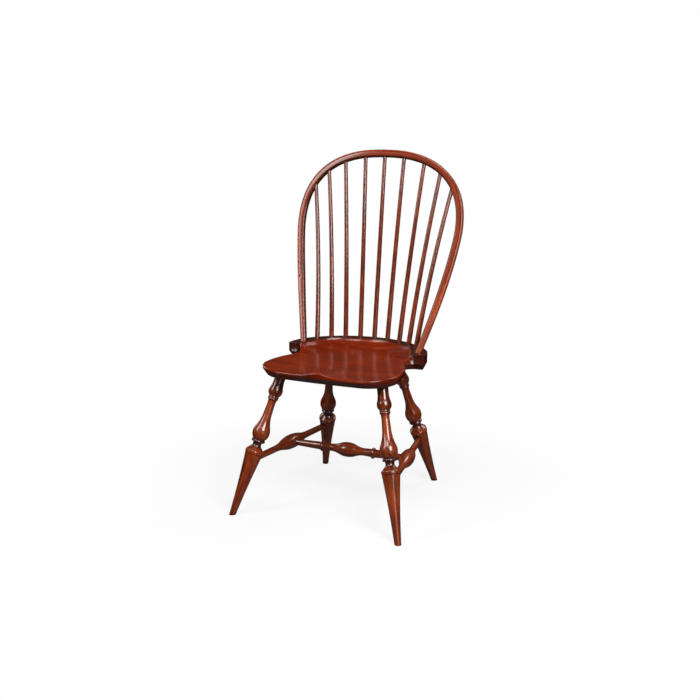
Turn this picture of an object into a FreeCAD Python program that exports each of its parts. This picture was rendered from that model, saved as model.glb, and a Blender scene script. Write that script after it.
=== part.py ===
"""A bow-back Windsor side chair, built from its separate wooden pieces.

Lengths are millimetres and angles are degrees. The frame has +Z up from the floor, the sitter
faces -Y, and +X is on the right of someone who stands in front of the chair and looks at it.
"""
import FreeCAD
import Part
import math
import os
import Sketcher

from FreeCAD import Placement, Rotation, Vector

# Driving dimensions: alias, value, what it is. Every other size is worked out from these.
SIZES = [
    ("seat_height", 443.7, "floor to the flat band of the seat that carries the spindles"),
    ("seat_thickness", 44.0, "thickness of the seat plank"),
    ("lobe_half_width", 200.0, "half the width of the seat across its two front lobes"),
    ("lobe_corner_radius", 95.0, "plan radius of the front corners of the seat"),
    ("lobe_widest_front", 125.0, "how far forward of centre the lobes are widest"),
    ("front_bulge", 3.0, "how far the middle of the front edge stands out"),
    ("side_end_half_width", 189.0, "half the width of the seat where its long sides end"),
    ("side_end_front", 50.0, "how far forward of centre the long sides end"),
    ("side_end_radius", 190.0, "plan radius of the seat's edge behind the long sides"),
    ("lobe_end_half_width", 174.0, "half the width of the seat where the lobes end"),
    ("lobe_end_front", 13.0, "how far forward of centre the lobes end"),
    ("cove_start", 3.5, "how far behind centre the cove of the notch starts"),
    ("cove_radius", 28.0, "hollow that leads from the notch to the front of an ear"),
    ("ear_front", 42.0, "how far behind centre the front faces of the ears lie"),
    ("ear_half_width", 213.5, "half the width of the seat across its ears"),
    ("ear_face_width", 21.5, "width of the flat front face of an ear"),
    ("back_depth", 171.0, "from the front faces of the ears to the middle of the back edge"),
    ("back_corner_radius", 135.0, "plan radius of the seat's back where it leaves the ears"),
    ("bevel_height", 18.0, "height of the bevel under the edge of the seat"),
    ("bevel_side", 9.0, "how far the bevel cuts in at the sides and back"),
    ("bevel_front", 17.0, "how far the bevel cuts in under the front edge"),
    ("deck_half_width", 168.0, "half the width inside the flat band"),
    ("deck_depth", 133.0, "from the ear fronts to the inside of the flat band"),
    ("deck_step", 1.5, "sharp step where the hollow of the seat starts"),
    ("groove_offset", 4.0, "from that step to the groove cut in the flat band"),
    ("groove_width", 2.4, "width of the groove in the flat band"),
    ("groove_depth", 1.4, "depth of the groove in the flat band"),
    ("dish_depth", 23.0, "depth of the hollow of the seat"),
    ("dish_run", 17.0, "run over which most of the hollow falls away from the flat band"),
    ("side_rise", 5.0, "how much the hollow rises again at the widest part of the lobes"),
    ("side_rise_start", 110.0, "distance from the middle where that rise begins"),
    ("front_rise", 3.0, "how much the hollow rises all along its front edge"),
    ("pommel_rise", 9.5, "height of the ridge at the middle of the front edge"),
    ("pommel_spread", 32.0, "sideways spread of that ridge"),
    ("pommel_run", 120.0, "how far the ridge runs back from the front edge"),
    ("front_foot_x", 249.8, "sideways place of a front foot"),
    ("front_foot_y", -249.4, "lengthways place of a front foot"),
    ("front_top_x", 150.2, "sideways place of a front leg at the seat's underside"),
    ("front_top_y", -124.4, "lengthways place of a front leg at the seat's underside"),
    ("rear_foot_x", 185.9, "sideways place of a rear foot"),
    ("rear_foot_y", 243.0, "lengthways place of a rear foot"),
    ("rear_top_x", 106.8, "sideways place of a rear leg at the seat's underside"),
    ("rear_top_y", 104.0, "lengthways place of a rear leg at the seat's underside"),
    ("foot_spare", 14.0, "turned length below the floor, which is sawn off"),
    ("foot_radius", 9.2, "leg radius at the floor"),
    ("taper_radius", 25.0, "leg radius at the top of the long foot taper"),
    ("taper_height", 184.0, "along the leg from the floor to the top of the foot taper"),
    ("taper_hollow", 1.5, "how far the foot taper is hollowed"),
    ("line_depth", 1.3, "depth of the fine lines cut round a leg"),
    ("line_width", 2.0, "width of the fine lines cut round a leg"),
    ("ankle_radius", 26.0, "leg radius at the ankle bead"),
    ("ankle_height", 192.0, "along the leg to the top of the ankle bead"),
    ("shoulder_radius", 23.4, "leg radius where the ankle's rounded shoulder ends"),
    ("shoulder_height", 195.4, "along the leg to the end of the ankle's shoulder"),
    ("flare_radius", 15.8, "leg radius where the slope over the shoulder meets the cove"),
    ("flare_height", 204.4, "along the leg to the end of that slope"),
    ("cove_neck_radius", 12.2, "leg radius in the deep cove over the ankle"),
    ("cove_neck_height", 212.0, "along the leg to the middle of that cove"),
    ("wafer_root_radius", 14.2, "leg radius where the cove meets the thin ring"),
    ("wafer_side_radius", 18.2, "leg radius at the sides of the thin ring"),
    ("wafer_swell", 1.5, "how far the thin ring is rounded out"),
    ("wafer_bottom", 219.0, "along the leg to the underside of the thin ring"),
    ("wafer_top", 225.5, "along the leg to the top of the thin ring"),
    ("vase_base_radius", 17.5, "leg radius at the bottom of the main vase"),
    ("vase_radius", 24.6, "largest radius of the main vase"),
    ("vase_height", 247.0, "along the leg to the widest part of the main vase"),
    ("vase_share", 0.25, "share of the main vase's fall that is convex"),
    ("neck_radius", 12.2, "leg radius where the main vase runs out"),
    ("neck_height", 308.0, "along the leg to the end of the main vase"),
    ("slim_radius", 11.2, "leg radius at the slimmest place of the neck"),
    ("slim_height", 330.0, "along the leg to the slimmest place of the neck"),
    ("collar_root_radius", 12.4, "leg radius just under the collar"),
    ("collar_radius", 14.0, "leg radius at the sides of the collar's two reeds"),
    ("reed_swell", 0.8, "how far each reed of the collar is rounded out"),
    ("collar_height", 345.5, "along the leg to the bottom of the collar"),
    ("reed_width", 5.5, "width of each reed of the collar"),
    ("top_vase_radius", 20.2, "largest radius of the upper vase"),
    ("top_vase_height", 370.0, "along the leg to the widest part of the upper vase"),
    ("top_vase_share", 0.3, "share of the upper vase's fall that is convex"),
    ("shank_radius", 15.3, "leg radius over the upper vase"),
    ("shank_height", 402.0, "along the leg to the start of the plain shank"),
    ("tenon_base_radius", 15.8, "leg radius where its tapered tenon starts"),
    ("tenon_lead", 8.0, "length of that taper that stands out of the seat on the leg's axis"),
    ("tenon_depth", 13.0, "how deep a leg's tenon reaches into the seat"),
    ("tenon_end_radius", 14.2, "radius at the end of a leg's tapered tenon"),
    ("stretcher_height", 163.0, "along a leg to the axis of its side stretcher"),
    ("stretcher_tenon", 26.0, "straight length at each end of a stretcher"),
    ("side_end_turning", 9.0, "radius of a side stretcher where it enters a leg"),
    ("side_swell_start", 82.0, "from the middle of a side stretcher to where its swell starts"),
    ("side_slim_radius", 9.6, "radius of a side stretcher where its swell starts"),
    ("side_middle_radius", 21.0, "radius of a side stretcher at its middle"),
    ("side_swell_share", 0.45, "share of the side stretcher's swell that is hollow"),
    ("medial_end_turning", 9.6, "radius of the middle stretcher where it enters a side stretcher"),
    ("ring_place", 80.0, "from the middle of the middle stretcher to each of its rings"),
    ("ring_root_radius", 12.0, "radius of the middle stretcher beside a ring"),
    ("ring_swell", 4.0, "how far a ring stands out"),
    ("ring_width", 10.0, "width of a ring"),
    ("medial_neck_place", 52.0, "from the middle of that stretcher to its necks"),
    ("medial_neck_radius", 11.0, "radius of the necks of the middle stretcher"),
    ("medial_middle_radius", 21.6, "radius of the middle stretcher at its middle"),
    ("medial_swell_share", 0.5, "share of the middle stretcher's swell that is hollow"),
    ("bow_foot_x", 181.8, "sideways place of a bow foot on the seat"),
    ("bow_foot_y", 77.3, "lengthways place of a bow foot on the seat"),
    ("bow_rise", 577.8, "from the seat to the middle of the bow's head, along the lean"),
    ("bow_lean", 18.5, "angle that the bow leans back"),
    ("bow_belly", 19.6, "how far the sides of the bow curve behind a straight lean"),
    ("bow_half_width", 250.3, "half the width of the bow at its widest, to the middle of the wood"),
    ("bow_widest_rise", 358.0, "along the lean to the bow's widest place"),
    ("bow_flare_power", 1.36, "how the sides of the bow flare out, where 1 is straight"),
    ("bow_head_power", 2.4, "how square the head of the bow is, where 2 is an ellipse"),
    ("bow_width", 22.0, "width of the bow's wood, seen from the front"),
    ("bow_thickness", 17.5, "thickness of the bow's wood, front to back"),
    ("bow_edge_radius", 5.0, "radius of the bow's rounded edges"),
    ("bow_foot_width", 19.5, "width of the bow's wood at its feet"),
    ("bow_foot_edge", 7.5, "radius of the bow's edges at its feet"),
    ("bow_narrow_rise", 220.0, "along the lean to where the bow reaches its full width"),
    ("bow_tenon_radius", 7.5, "radius of the round tenon at each bow foot"),
    ("spindle_row_back", 193.0, "lengthways place of the middle spindle on the seat"),
    ("spindle_row_radius", 213.0, "plan radius of the row of spindles on the seat"),
    ("foot_first", 44.1, "sideways place on the seat of the spindles next to the middle one"),
    ("foot_second", 86.9, "the same for the second spindles from the middle"),
    ("foot_third", 124.7, "the same for the third spindles from the middle"),
    ("foot_fourth", 158.4, "the same for the outermost spindles"),
    ("head_first", 61.5, "sideways place on the bow of the spindles next to the middle one"),
    ("head_second", 125.7, "the same for the second spindles from the middle"),
    ("head_third", 178.2, "the same for the third spindles from the middle"),
    ("head_fourth", 218.4, "the same for the outermost spindles"),
    ("spindle_foot_radius", 7.4, "spindle radius at the seat"),
    ("spindle_head_radius", 5.8, "spindle radius at the bow"),
    ("spindle_socket", 26.0, "depth of a spindle's socket in the seat"),
    ("spindle_bend", 5.8, "how far the outermost spindles bend in at mid height"),
    ("wedge_thickness", 2.4, "thickness of a wedge at its wide end"),
    ("wedge_tip", 0.8, "thickness of a wedge at its thin end"),
    ("leg_wedge", 10.0, "length of the hidden wedge in a leg's tenon"),
    ("bow_wedge", 24.0, "length of the wedge in a bow foot's tenon"),
    ("spindle_wedge", 13.0, "length of the wedge in a spindle's head"),
    ("glue_gap", 0.1, "gap all round a glued tenon"),
    ("socket_end_gap", 0.5, "gap past the end of a blind tenon"),
]
# The two sides of the chair, as seen from the front, and their sign along X.
HANDS = {"left": -1, "right": 1}
# Names of the spindle places, from the middle spindle outwards.
SPINDLE_PLACES = ["first", "second", "third", "fourth"]
# How much each spindle bends follows this power of its place in the row.
BEND_POWER = 1.4
# Spans of the curves that are worked out point by point.
BOW_SIDE_STATIONS = 7
BOW_HEAD_STATIONS = 7
BOW_SECTIONS = 48
SPINDLE_SECTIONS = 7
DISH_GRID = 9.0
# Length of the tools that reach right through a piece.
REACH = 120.0
# Straight lengths at the head and at the foot of a bent spindle.
SPINDLE_STRAIGHT = 30.0
SPINDLE_STUB = 2.0
# How far a wedge's cutting form reaches past the face it is flush with.
WEDGE_SPARE = 6.0
# How far the region of the hollow reaches past the plank.
REGION_MARGIN = 40.0
# Halvings in the search for a place along the bow.
SEARCH_STEPS = 50

doc = FreeCAD.newDocument("windsor_chair")
sheet = doc.addObject("Spreadsheet::Sheet", "sizes")


class Dim:
    """A size and the expression that binds it to the sheet."""

    def __init__(self, value, text):
        self.value = value
        self.text = text

    def joined(self, sign, other, value):
        return Dim(value, "(%s %s %s)" % (self.text, sign, other.text))

    def __add__(self, other):
        other = as_dim(other)
        return self.joined("+", other, self.value + other.value)

    def __sub__(self, other):
        other = as_dim(other)
        return self.joined("-", other, self.value - other.value)

    def __mul__(self, other):
        other = as_dim(other)
        return self.joined("*", other, self.value * other.value)

    def __truediv__(self, other):
        other = as_dim(other)
        return self.joined("/", other, self.value / other.value)

    def __neg__(self):
        return Dim(-self.value, "(0 - %s)" % self.text)

    def root(self):
        return Dim(math.sqrt(self.value), "sqrt(%s)" % self.text)


def as_dim(number):
    """A plain number as a Dim."""
    if isinstance(number, Dim):
        return number
    return Dim(float(number), repr(float(number)))


def fill_sheet():
    """Write every driving dimension into the sheet, with its alias and what it is."""
    for row, (alias, value, note) in enumerate(SIZES, start=1):
        sheet.set("A%d" % row, alias)
        sheet.set("B%d" % row, str(value))
        sheet.setAlias("B%d" % row, alias)
        sheet.set("C%d" % row, note)
    doc.recompute()


def size(alias):
    """The value of a driving dimension."""
    return float(getattr(sheet, alias))


def dim(alias):
    """A driving dimension with its expression."""
    return Dim(size(alias), "sizes." + alias)


def frame_along(start, direction, side=Vector(0, -1, 0)):
    """A placement at start whose Z runs along direction and whose X is nearest to side."""
    z_axis = Vector(direction)
    z_axis.normalize()
    x_axis = side - z_axis * side.dot(z_axis)
    x_axis.normalize()
    y_axis = z_axis.cross(x_axis)
    return Placement(start, Rotation(x_axis, y_axis, z_axis, "ZXY"))


def origin_plane(body, role):
    """One of a body's own origin planes."""
    for feature in body.Origin.OriginFeatures:
        if feature.Role == role:
            return feature
    raise ValueError(role)


class Outline:
    """A closed sketch whose points and radii are bound to the sheet."""

    def __init__(self, body, name, role):
        self.sketch = body.newObject("Sketcher::SketchObject", name)
        self.sketch.AttachmentSupport = [(origin_plane(body, role), "")]
        self.sketch.MapMode = "FlatFace"

    def bind(self, constraint, amount):
        """Add a constraint and bind its datum to an expression."""
        index = self.sketch.addConstraint(constraint)
        self.sketch.setExpression("Constraints[%d]" % index, amount.text)

    def pin(self, edge, end, point):
        """Fix one end of an edge at a point of the plane."""
        for kind, axis, amount in (("DistanceX", -2, point[0]), ("DistanceY", -1, point[1])):
            if abs(amount.value) < 1e-9:
                self.sketch.addConstraint(Sketcher.Constraint("PointOnObject", edge, end, axis))
            elif amount.value > 0:
                rule = Sketcher.Constraint(kind, -1, 1, edge, end, amount.value)
                self.bind(rule, amount)
            else:
                rule = Sketcher.Constraint(kind, edge, end, -1, 1, -amount.value)
                self.bind(rule, -amount)

    def line(self, start, end):
        """A straight edge."""
        places = [Vector(start[0].value, start[1].value, 0), Vector(end[0].value, end[1].value, 0)]
        edge = self.sketch.addGeometry(Part.LineSegment(places[0], places[1]), False)
        self.pin(edge, 1, start)
        self.pin(edge, 2, end)

    def arc(self, start, end, radius, left):
        """A round edge that turns left or right on its way from start to end."""
        first, last = (start, end) if left else (end, start)
        begin = Vector(first[0].value, first[1].value, 0)
        finish = Vector(last[0].value, last[1].value, 0)
        chord = finish - begin
        reach = math.sqrt(max(radius.value ** 2 - (chord.Length / 2) ** 2, 0.0))
        across = Vector(-chord.y, chord.x, 0)
        across.normalize()
        centre = begin + chord * 0.5 + across * reach
        circle = Part.Circle(centre, Vector(0, 0, 1), radius.value)
        low = math.atan2(begin.y - centre.y, begin.x - centre.x)
        high = math.atan2(finish.y - centre.y, finish.x - centre.x)
        if high < low:
            high += 2 * math.pi
        edge = self.sketch.addGeometry(Part.ArcOfCircle(circle, low, high), False)
        self.pin(edge, 1, first)
        self.pin(edge, 2, last)
        self.bind(Sketcher.Constraint("Radius", edge, radius.value), radius)

    def swell(self, start, end, left=True):
        """A round edge that runs along the sketch's Y axis at its wider or narrower end."""
        rise = end[1] - start[1]
        gain = end[0] - start[0]
        if gain.value < 0:
            gain = -gain
        self.arc(start, end, (rise * rise + gain * gain) / (gain * 2), left)

    def ogee(self, start, end, share):
        """Two round edges, hollow and full, that run along the Y axis at both ends."""
        rise = end[1] - start[1]
        gain = end[0] - start[0]
        falling = gain.value < 0
        middle = (start[0] + gain * share, start[1] + rise * share)
        width = -gain if falling else gain
        whole = (rise * rise + gain * gain) / (width * 2)
        self.arc(start, middle, whole * share, falling)
        self.arc(middle, end, whole * (as_dim(1) - share), not falling)

    def bead(self, start, end, height, left=True):
        """A round edge that stands out by height at its middle."""
        span = end[1] - start[1]
        radius = (span * span / 4 + height * height) / (height * 2)
        self.arc(start, end, radius, left)


def new_body(name):
    """An empty body."""
    return doc.addObject("PartDesign::Body", name)


def revolve(body, outline):
    """Turn an outline round the Y axis of its sketch."""
    doc.recompute()
    turning = body.newObject("PartDesign::Revolution", body.Name + "_turning")
    turning.Profile = outline.sketch
    turning.ReferenceAxis = (outline.sketch, ["V_Axis"])
    turning.Angle = 360
    doc.recompute()


def cut_by(name, base, tools):
    """The base with every tool cut away, as an object of the document."""
    doc.recompute()
    cutter = tools[0]
    if len(tools) > 1:
        cutter = doc.addObject("Part::MultiFuse", name + "_tools")
        cutter.Shapes = tools
    result = doc.addObject("Part::Cut", name)
    result.Base = base
    result.Tool = cutter
    doc.recompute()
    return result


def shared_by(name, base, tool):
    """What two objects have in common."""
    result = doc.addObject("Part::Common", name)
    result.Base = base
    result.Tool = tool
    doc.recompute()
    return result


def drill(name, start, direction, radius, depth):
    """A cylinder from start along direction, bound to the sheet."""
    tool = doc.addObject("Part::Cylinder", name)
    tool.setExpression("Radius", radius.text)
    tool.setExpression("Height", as_dim(depth).text)
    tool.Placement = frame_along(start, direction)
    return tool


def wedge_form(name, end, direction, side, length, half_span):
    """A flat wedge, thickest at end, that points back along direction and is thin along side."""
    tool = doc.addObject("Part::Wedge", name)
    tool.setExpression("Xmin", "-0.5 * sizes.wedge_tip")
    tool.setExpression("Xmax", "0.5 * sizes.wedge_tip")
    tool.setExpression("X2min", "-0.5 * sizes.wedge_thickness")
    tool.setExpression("X2max", "0.5 * sizes.wedge_thickness")
    tool.Ymin = 0
    tool.setExpression("Ymax", length.text)
    tool.setExpression("Zmin", "-" + half_span.text)
    tool.setExpression("Zmax", half_span.text)
    tool.setExpression("Z2min", "-" + half_span.text)
    tool.setExpression("Z2max", half_span.text)
    y_axis = Vector(direction)
    y_axis.normalize()
    x_axis = side - y_axis * side.dot(y_axis)
    x_axis.normalize()
    z_axis = x_axis.cross(y_axis)
    start = end - y_axis * length.value
    tool.Placement = Placement(start, Rotation(x_axis, y_axis, z_axis, "YXZ"))
    return tool


def feature(name, shape):
    """A shape that is worked out here, as an object of the document."""
    result = doc.addObject("Part::Feature", name)
    result.Shape = shape
    return result


# Places that several pieces share.

def underside():
    """Height of the seat's underside."""
    return size("seat_height") - size("seat_thickness")


def leg_line(corner, side):
    """The foot of a leg's axis on the floor and its direction; corner is front or rear."""
    foot = Vector(side * size(corner + "_foot_x"), size(corner + "_foot_y"), 0)
    top = Vector(side * size(corner + "_top_x"), size(corner + "_top_y"), underside())
    direction = top - foot
    direction.normalize()
    return foot, direction


def stretcher_line(side):
    """The two ends of a side stretcher's axis, on the axes of its front and rear leg."""
    ends = []
    for corner in ("front", "rear"):
        foot, direction = leg_line(corner, side)
        ends.append(foot + direction * size("stretcher_height"))
    return ends


def bow_point(half_width, rise, side):
    """A point of the bow's centre line, from its half width and its rise along the lean."""
    lean = math.radians(size("bow_lean"))
    share = rise / size("bow_rise")
    belly = size("bow_belly") * 4 * share * (1 - share)
    back = size("bow_foot_y") + rise * math.sin(lean) + belly
    return Vector(side * half_width, back, size("seat_height") + rise * math.cos(lean))


def bow_half_line():
    """Half widths and rises of the bow's centre line, from a foot to just short of the head."""
    widest = size("bow_half_width")
    widest_rise = size("bow_widest_rise")
    flare = widest - size("bow_foot_x")
    power = 2 / size("bow_head_power")
    head = size("bow_rise") - widest_rise
    line = []
    for station in range(BOW_SIDE_STATIONS):
        share = station / BOW_SIDE_STATIONS
        line.append((widest - flare * (1 - share) ** size("bow_flare_power"), share * widest_rise))
    for station in range(BOW_HEAD_STATIONS):
        turn = math.pi / 2 * station / BOW_HEAD_STATIONS
        across = widest * math.cos(turn) ** power
        line.append((across, widest_rise + head * math.sin(turn) ** power))
    return line


def bow_curve():
    """The bow's centre line, from its left foot over the head to its right foot."""
    half = bow_half_line()
    points = [bow_point(across, rise, -1) for across, rise in half]
    points.append(bow_point(0, size("bow_rise"), 1))
    points += [bow_point(across, rise, 1) for across, rise in reversed(half)]
    curve = Part.BSplineCurve()
    curve.interpolate(points)
    return curve


def curve_tangent(curve, place):
    """The unit direction of a curve at a parameter."""
    direction = curve.tangent(place)[0]
    direction.normalize()
    return direction


def bow_place_at(curve, across):
    """The parameter of the bow's centre line where it passes over a sideways place."""
    quarter = (curve.LastParameter - curve.FirstParameter) / 4
    low = curve.FirstParameter + quarter
    high = curve.LastParameter - quarter
    for step in range(SEARCH_STEPS):
        middle = (low + high) / 2
        if curve.value(middle).x < across:
            low = middle
        else:
            high = middle
    return (low + high) / 2


# The seat.

def seat_outline(body, name, inset_side, inset_front):
    """The seat's plan, drawn inside the full outline by the two insets."""
    outline = Outline(body, name, "XY_Plane")
    lobe = dim("lobe_half_width")
    corner = dim("lobe_corner_radius")
    widest = dim("lobe_widest_front")
    front_y = -(widest + corner) + inset_front
    corner_x = lobe - corner
    face_end = dim("ear_half_width") - dim("ear_face_width")
    cove = dim("cove_radius") + inset_side
    cove_middle = dim("ear_front") - dim("cove_radius")
    cove_rise = cove_middle - dim("cove_start")
    cove_x = face_end - (cove * cove - cove_rise * cove_rise).root()
    ear_y = dim("ear_front") + inset_side
    end_centre = dim("ear_half_width") - dim("back_corner_radius")
    end_radius = dim("back_corner_radius") - inset_side
    depth = dim("back_depth")
    full_end = dim("back_corner_radius")
    back_radius = (end_centre * end_centre + depth * depth - full_end * full_end)
    back_radius = back_radius / ((depth - full_end) * 2)
    ear_x = end_centre + (end_radius * end_radius - inset_side * inset_side).root()
    ratio = (back_radius - inset_side) / (back_radius - full_end)
    join_x = end_centre * ratio
    join_y = dim("ear_front") + depth - back_radius + (back_radius - depth) * ratio
    points = {
        "corner": (corner_x, front_y),
        "lobe": (lobe - inset_side, -widest),
        "side": (dim("side_end_half_width") - inset_side, -dim("side_end_front")),
        "tail": (dim("lobe_end_half_width") - inset_side, -dim("lobe_end_front")),
        "cove": (cove_x, dim("cove_start")),
        "face": (face_end, ear_y),
        "ear": (ear_x, ear_y),
        "join": (join_x, join_y),
    }
    left = {key: (-point[0], point[1]) for key, point in points.items()}
    bulge = dim("front_bulge")
    front_radius = (corner_x * corner_x + bulge * bulge) / (bulge * 2)
    corner_radius = corner - (inset_side + inset_front) / 2
    run = widest - dim("side_end_front")
    drop = lobe - dim("side_end_half_width")
    side_radius = (run * run + drop * drop) / (drop * 2)
    outline.arc(left["corner"], points["corner"], front_radius, True)
    for side, radius, turn in (("corner lobe", corner_radius, True), ("lobe side", side_radius, True),
                               ("side tail", dim("side_end_radius"), True), ("tail cove", None, True),
                               ("cove face", cove, False), ("face ear", None, True),
                               ("ear join", end_radius, True)):
        first, last = side.split()
        if radius is None:
            outline.line(points[first], points[last])
            outline.line(left[last], left[first])
        else:
            outline.arc(points[first], points[last], radius, turn)
            outline.arc(left[last], left[first], radius, turn)
    outline.arc(points["join"], left["join"], back_radius - inset_side, True)
    return outline


def seat_blank():
    """The sawn and bevelled plank, before it is hollowed."""
    body = new_body("seat_plank")
    nothing = as_dim(0)
    low = seat_outline(body, "seat_underside", dim("bevel_side"), dim("bevel_front"))
    low.sketch.setExpression("AttachmentOffset.Base.z", "sizes.seat_height - sizes.seat_thickness")
    full = seat_outline(body, "seat_plan", nothing, nothing)
    level = "sizes.seat_height - sizes.seat_thickness + sizes.bevel_height"
    full.sketch.setExpression("AttachmentOffset.Base.z", level)
    doc.recompute()
    bevel = body.newObject("PartDesign::AdditiveLoft", "seat_bevel")
    bevel.Profile = low.sketch
    bevel.Sections = [full.sketch]
    bevel.Ruled = True
    doc.recompute()
    plank = body.newObject("PartDesign::Pad", "seat_thickness_pad")
    plank.Profile = full.sketch
    plank.setExpression("Length", "sizes.seat_thickness - sizes.bevel_height")
    doc.recompute()
    return body


def dish_drop(across, back):
    """How far the hollow of the seat lies under the flat band at a place of the plan."""
    half = size("deck_half_width")
    front = size("ear_front")
    side = abs(across)
    if back > front:
        reach = math.hypot(side / half, (back - front) / size("deck_depth"))
        inside = half * (1 - reach)
    elif side > half:
        inside = front - back + half - side
    else:
        inside = math.hypot(half - side, front - back)
    share = inside / size("dish_run")
    fall = 1 - math.exp(-share) if share > 0 else share / (1 - share)
    drop = size("deck_step") + (size("dish_depth") - size("deck_step")) * fall
    edge_run = size("lobe_half_width") - size("side_rise_start")
    outside = max(side - size("side_rise_start"), 0) / edge_run
    forward = min(max((front - back) / front, 0), 1)
    drop -= size("side_rise") * outside ** 2 * forward
    front_edge = size("lobe_widest_front") + size("lobe_corner_radius")
    ramp = min(max((size("pommel_run") - front_edge - back) / size("pommel_run"), 0), 1)
    ridge = math.exp(-(across / size("pommel_spread")) ** 2)
    drop -= (size("front_rise") + size("pommel_rise") * ridge) * ramp * ramp * (3 - 2 * ramp)
    return drop


def spread(low, high, step):
    """Evenly spaced values from low to high, about step apart."""
    count = int(round((high - low) / step))
    return [low + (high - low) * index / count for index in range(count + 1)]


def deck_edge(outset, level):
    """The inner edge of the flat band at a level, moved outwards by outset."""
    middle = Vector(0, size("ear_front"), level)
    right = middle + Vector(size("deck_half_width") + outset, 0, 0)
    rear = middle + Vector(0, size("deck_depth") + outset, 0)
    return Part.Arc(Part.Ellipse(right, rear, middle), 0, math.pi).toShape()


def face_of(edges):
    """A flat face inside a closed loop of edges."""
    return Part.Face(Part.Wire(Part.__sortEdges__(edges)))


def dish_cutter():
    """The wood that is hollowed out of the seat, down to the saddle surface."""
    top = size("seat_height")
    half = size("deck_half_width")
    front = size("ear_front")
    wide = size("lobe_half_width") + REGION_MARGIN
    near = -size("lobe_widest_front") - size("lobe_corner_radius") - REGION_MARGIN
    far = front + size("deck_depth")
    grid = []
    for across in spread(-wide - DISH_GRID, wide + DISH_GRID, DISH_GRID):
        rows = spread(near - DISH_GRID, far + DISH_GRID, DISH_GRID)
        grid.append([Vector(across, back, top - dish_drop(across, back)) for back in rows])
    surface = Part.BSplineSurface()
    surface.interpolate(grid)
    above = surface.toShape().extrude(Vector(0, 0, size("seat_thickness")))
    base = underside()
    slant = size("cove_radius")
    right = [(half, front), (half + slant, front - slant), (wide, front - slant), (wide, near)]
    corners = [Vector(across, back, base) for across, back in right]
    corners += [Vector(-across, back, base) for across, back in reversed(right)]
    edges = [deck_edge(0, base)]
    for first, last in zip(corners, corners[1:]):
        edges.append(Part.makeLine(first, last))
    region = face_of(edges).extrude(Vector(0, 0, 2 * size("seat_thickness")))
    return feature("dish_cutter", above.common(region))


def groove_cutter():
    """The groove that follows the inner edge of the flat band and runs out at the notches."""
    level = size("seat_height") - size("groove_depth")
    inner = size("groove_offset")
    outer = inner + size("groove_width")
    edges = [deck_edge(inner, level), deck_edge(outer, level)]
    run_out = Vector(0, -size("cove_radius"), 0)
    for side in (-1, 1):
        near = Vector(side * (size("deck_half_width") + inner), size("ear_front"), level)
        far = Vector(side * (size("deck_half_width") + outer), size("ear_front"), level)
        edges.append(Part.makeLine(near, near + run_out))
        edges.append(Part.makeLine(near + run_out, far + run_out))
        edges.append(Part.makeLine(far + run_out, far))
    return feature("groove_cutter", face_of(edges).extrude(Vector(0, 0, 2 * size("groove_depth"))))


# The turned pieces.

def leg_length(corner):
    """Length of a leg's axis from the floor to the seat's underside."""
    across = dim(corner + "_foot_x") - dim(corner + "_top_x")
    along = dim(corner + "_foot_y") - dim(corner + "_top_y")
    up = dim("seat_height") - dim("seat_thickness")
    return (across * across + along * along + up * up).root()


def tenon_span(corner):
    """Along a leg's axis: where its tapered tenon starts and where it ends."""
    length = leg_length(corner)
    up = dim("seat_height") - dim("seat_thickness")
    return length - dim("tenon_lead"), length + dim("tenon_depth") * length / up


def turned_body(name, steps):
    """A turning round Z; each step is a shape, its end point and the shape's own amount."""
    body = new_body(name + "_turned")
    outline = Outline(body, name + "_outline", "XZ_Plane")
    nothing = as_dim(0)
    here = steps[0][1]
    bottom = (nothing, here[1])
    outline.line(bottom, here)
    for shape, there, amount in steps[1:]:
        if shape == "line":
            outline.line(here, there)
        elif shape == "full":
            outline.swell(here, there)
        elif shape == "hollow":
            outline.swell(here, there, False)
        elif shape == "ogee":
            outline.ogee(here, there, amount)
        elif shape == "bead":
            outline.bead(here, there, amount)
        elif shape == "dip":
            outline.bead(here, there, amount, False)
        else:
            raise ValueError(shape)
        here = there
    top = (nothing, here[1])
    outline.line(here, top)
    outline.line(top, bottom)
    revolve(body, outline)
    return body


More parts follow.
